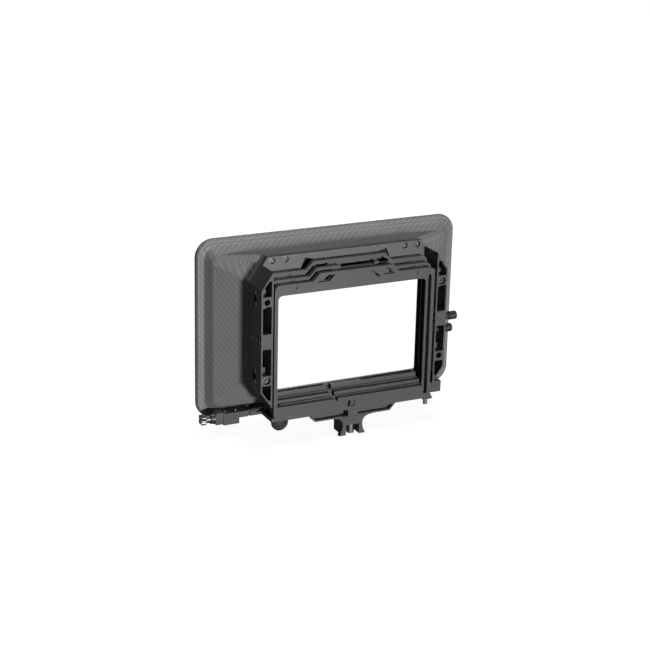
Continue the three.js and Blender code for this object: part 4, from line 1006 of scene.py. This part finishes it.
# Name, place, size in metres and power in watts
LAMPS = (
    ("key softbox", Vector((0.24, -2.53, 0.16)), 0.25, 61),
    ("top softbox", Vector((0.1, -0.1, 2.3)), 0.8, 22),
    ("front fill", Vector((0.6, 2.4, 0.35)), 1.0, 34),
)


def background_ray(tree, x, y, gloss):
    """1 where the background is seen straight or through glass, and a share of it in reflections."""
    ray = add(tree, "ShaderNodeLightPath", x, y).outputs
    straight = maths(tree, "MAXIMUM", x + 200, y, ray["Is Camera Ray"], ray["Is Transmission Ray"])
    mirrored = maths(tree, "MULTIPLY", x + 200, y - 180, ray["Is Glossy Ray"], gloss)
    return maths(tree, "MAXIMUM", x + 400, y, straight, mirrored)


def make_floor():
    deselect()
    bpy.ops.mesh.primitive_plane_add(size=FLOOR_SIZE, location=(0, 0, 0))
    floor = bpy.context.active_object
    floor.name = "studio_floor"
    open_mesh()
    bpy.ops.mesh.subdivide(number_cuts=4)
    close_mesh()
    material, tree, surface = new_material("pale floor")
    surface.inputs["Base Color"].default_value = FLOOR_GREY
    surface.inputs["Roughness"].default_value = 0.95
    surface.inputs["Specular IOR Level"].default_value = 0.1
    place = add(tree, "ShaderNodeTexCoord", -600, -200)
    reach = add(tree, "ShaderNodeVectorMath", -400, -200, operation="LENGTH")
    tree.links.new(place.outputs["Object"], reach.inputs[0])
    spread = add(tree, "ShaderNodeMapRange", -200, -200, in_From_Min=FLOOR_FADE[0], in_From_Max=FLOOR_FADE[1],
                 in_To_Min=FLOOR_NEAR, in_To_Max=1.0)
    tree.links.new(reach.outputs["Value"], spread.inputs["Value"])
    ray = background_ray(tree, 0, -400, FLOOR_GLOSS)
    seen = maths(tree, "MULTIPLY", 600, -250, ray, spread.outputs["Result"])
    surface.inputs["Emission Color"].default_value = WHITE
    tree.links.new(seen, surface.inputs["Emission Strength"])
    dress(floor, material)


def make_world():
    world = bpy.data.worlds.new("studio")
    bpy.context.scene.world = world
    world.use_nodes = True
    tree = world.node_tree
    background = tree.nodes["Background"]
    seen = background_ray(tree, -900, 0, WORLD_GLOSS)
    strength = maths(tree, "MAXIMUM", -100, 0, seen, WORLD_LEVEL)
    tree.links.new(strength, background.inputs["Strength"])
    background.inputs["Color"].default_value = WHITE


def soft_light(name, place, size, power):
    deselect()
    bpy.ops.object.light_add(type="AREA", location=place)
    lamp = bpy.context.active_object
    lamp.name = name
    lamp.data.shape = "SQUARE"
    lamp.data.size = size
    lamp.data.energy = power
    lamp.rotation_mode = "QUATERNION"
    lamp.rotation_quaternion = (LAMP_TARGET - place).to_track_quat("-Z", "Y")


CAMERA_AZIMUTH = math.radians(26.213)
CAMERA_HEIGHT = math.radians(18.865)
CAMERA_ROLL = math.radians(1.306)
CAMERA_DISTANCE = 1.37865
CAMERA_OFFSET = (0.025976, 0.004395)
PICTURE_FOCUS = 1629.83
PICTURE_WIDTH = 650
SENSOR_WIDTH = 36.0
SIGHT_POINT = Vector((0.0, -0.01375, 0.10482))


def make_camera():
    """The camera that was fitted to the photograph's corners."""
    ahead = Vector((math.sin(CAMERA_AZIMUTH) * math.cos(CAMERA_HEIGHT),
                    math.cos(CAMERA_AZIMUTH) * math.cos(CAMERA_HEIGHT), -math.sin(CAMERA_HEIGHT)))
    level = Vector((math.cos(CAMERA_AZIMUTH), -math.sin(CAMERA_AZIMUTH), 0.0))
    upward = level.cross(ahead)
    right = level * math.cos(CAMERA_ROLL) + upward * math.sin(CAMERA_ROLL)
    up = upward * math.cos(CAMERA_ROLL) - level * math.sin(CAMERA_ROLL)
    place = SIGHT_POINT - right * CAMERA_OFFSET[0] - up * CAMERA_OFFSET[1] - ahead * CAMERA_DISTANCE
    data = bpy.data.cameras.new("photo camera")
    data.lens = PICTURE_FOCUS / PICTURE_WIDTH * SENSOR_WIDTH
    data.sensor_width = SENSOR_WIDTH
    data.clip_start = 0.01
    data.clip_end = 100.0
    camera = bpy.data.objects.new("photo camera", data)
    bpy.context.collection.objects.link(camera)
    turn = Matrix((right, up, -ahead)).transposed()
    camera.matrix_world = Matrix.Translation(place) @ turn.to_4x4()
    bpy.context.scene.camera = camera


make_floor()
make_world()
for lamp in LAMPS:
    soft_light(*lamp)
make_camera()
bpy.context.scene.view_settings.view_transform = "Standard"
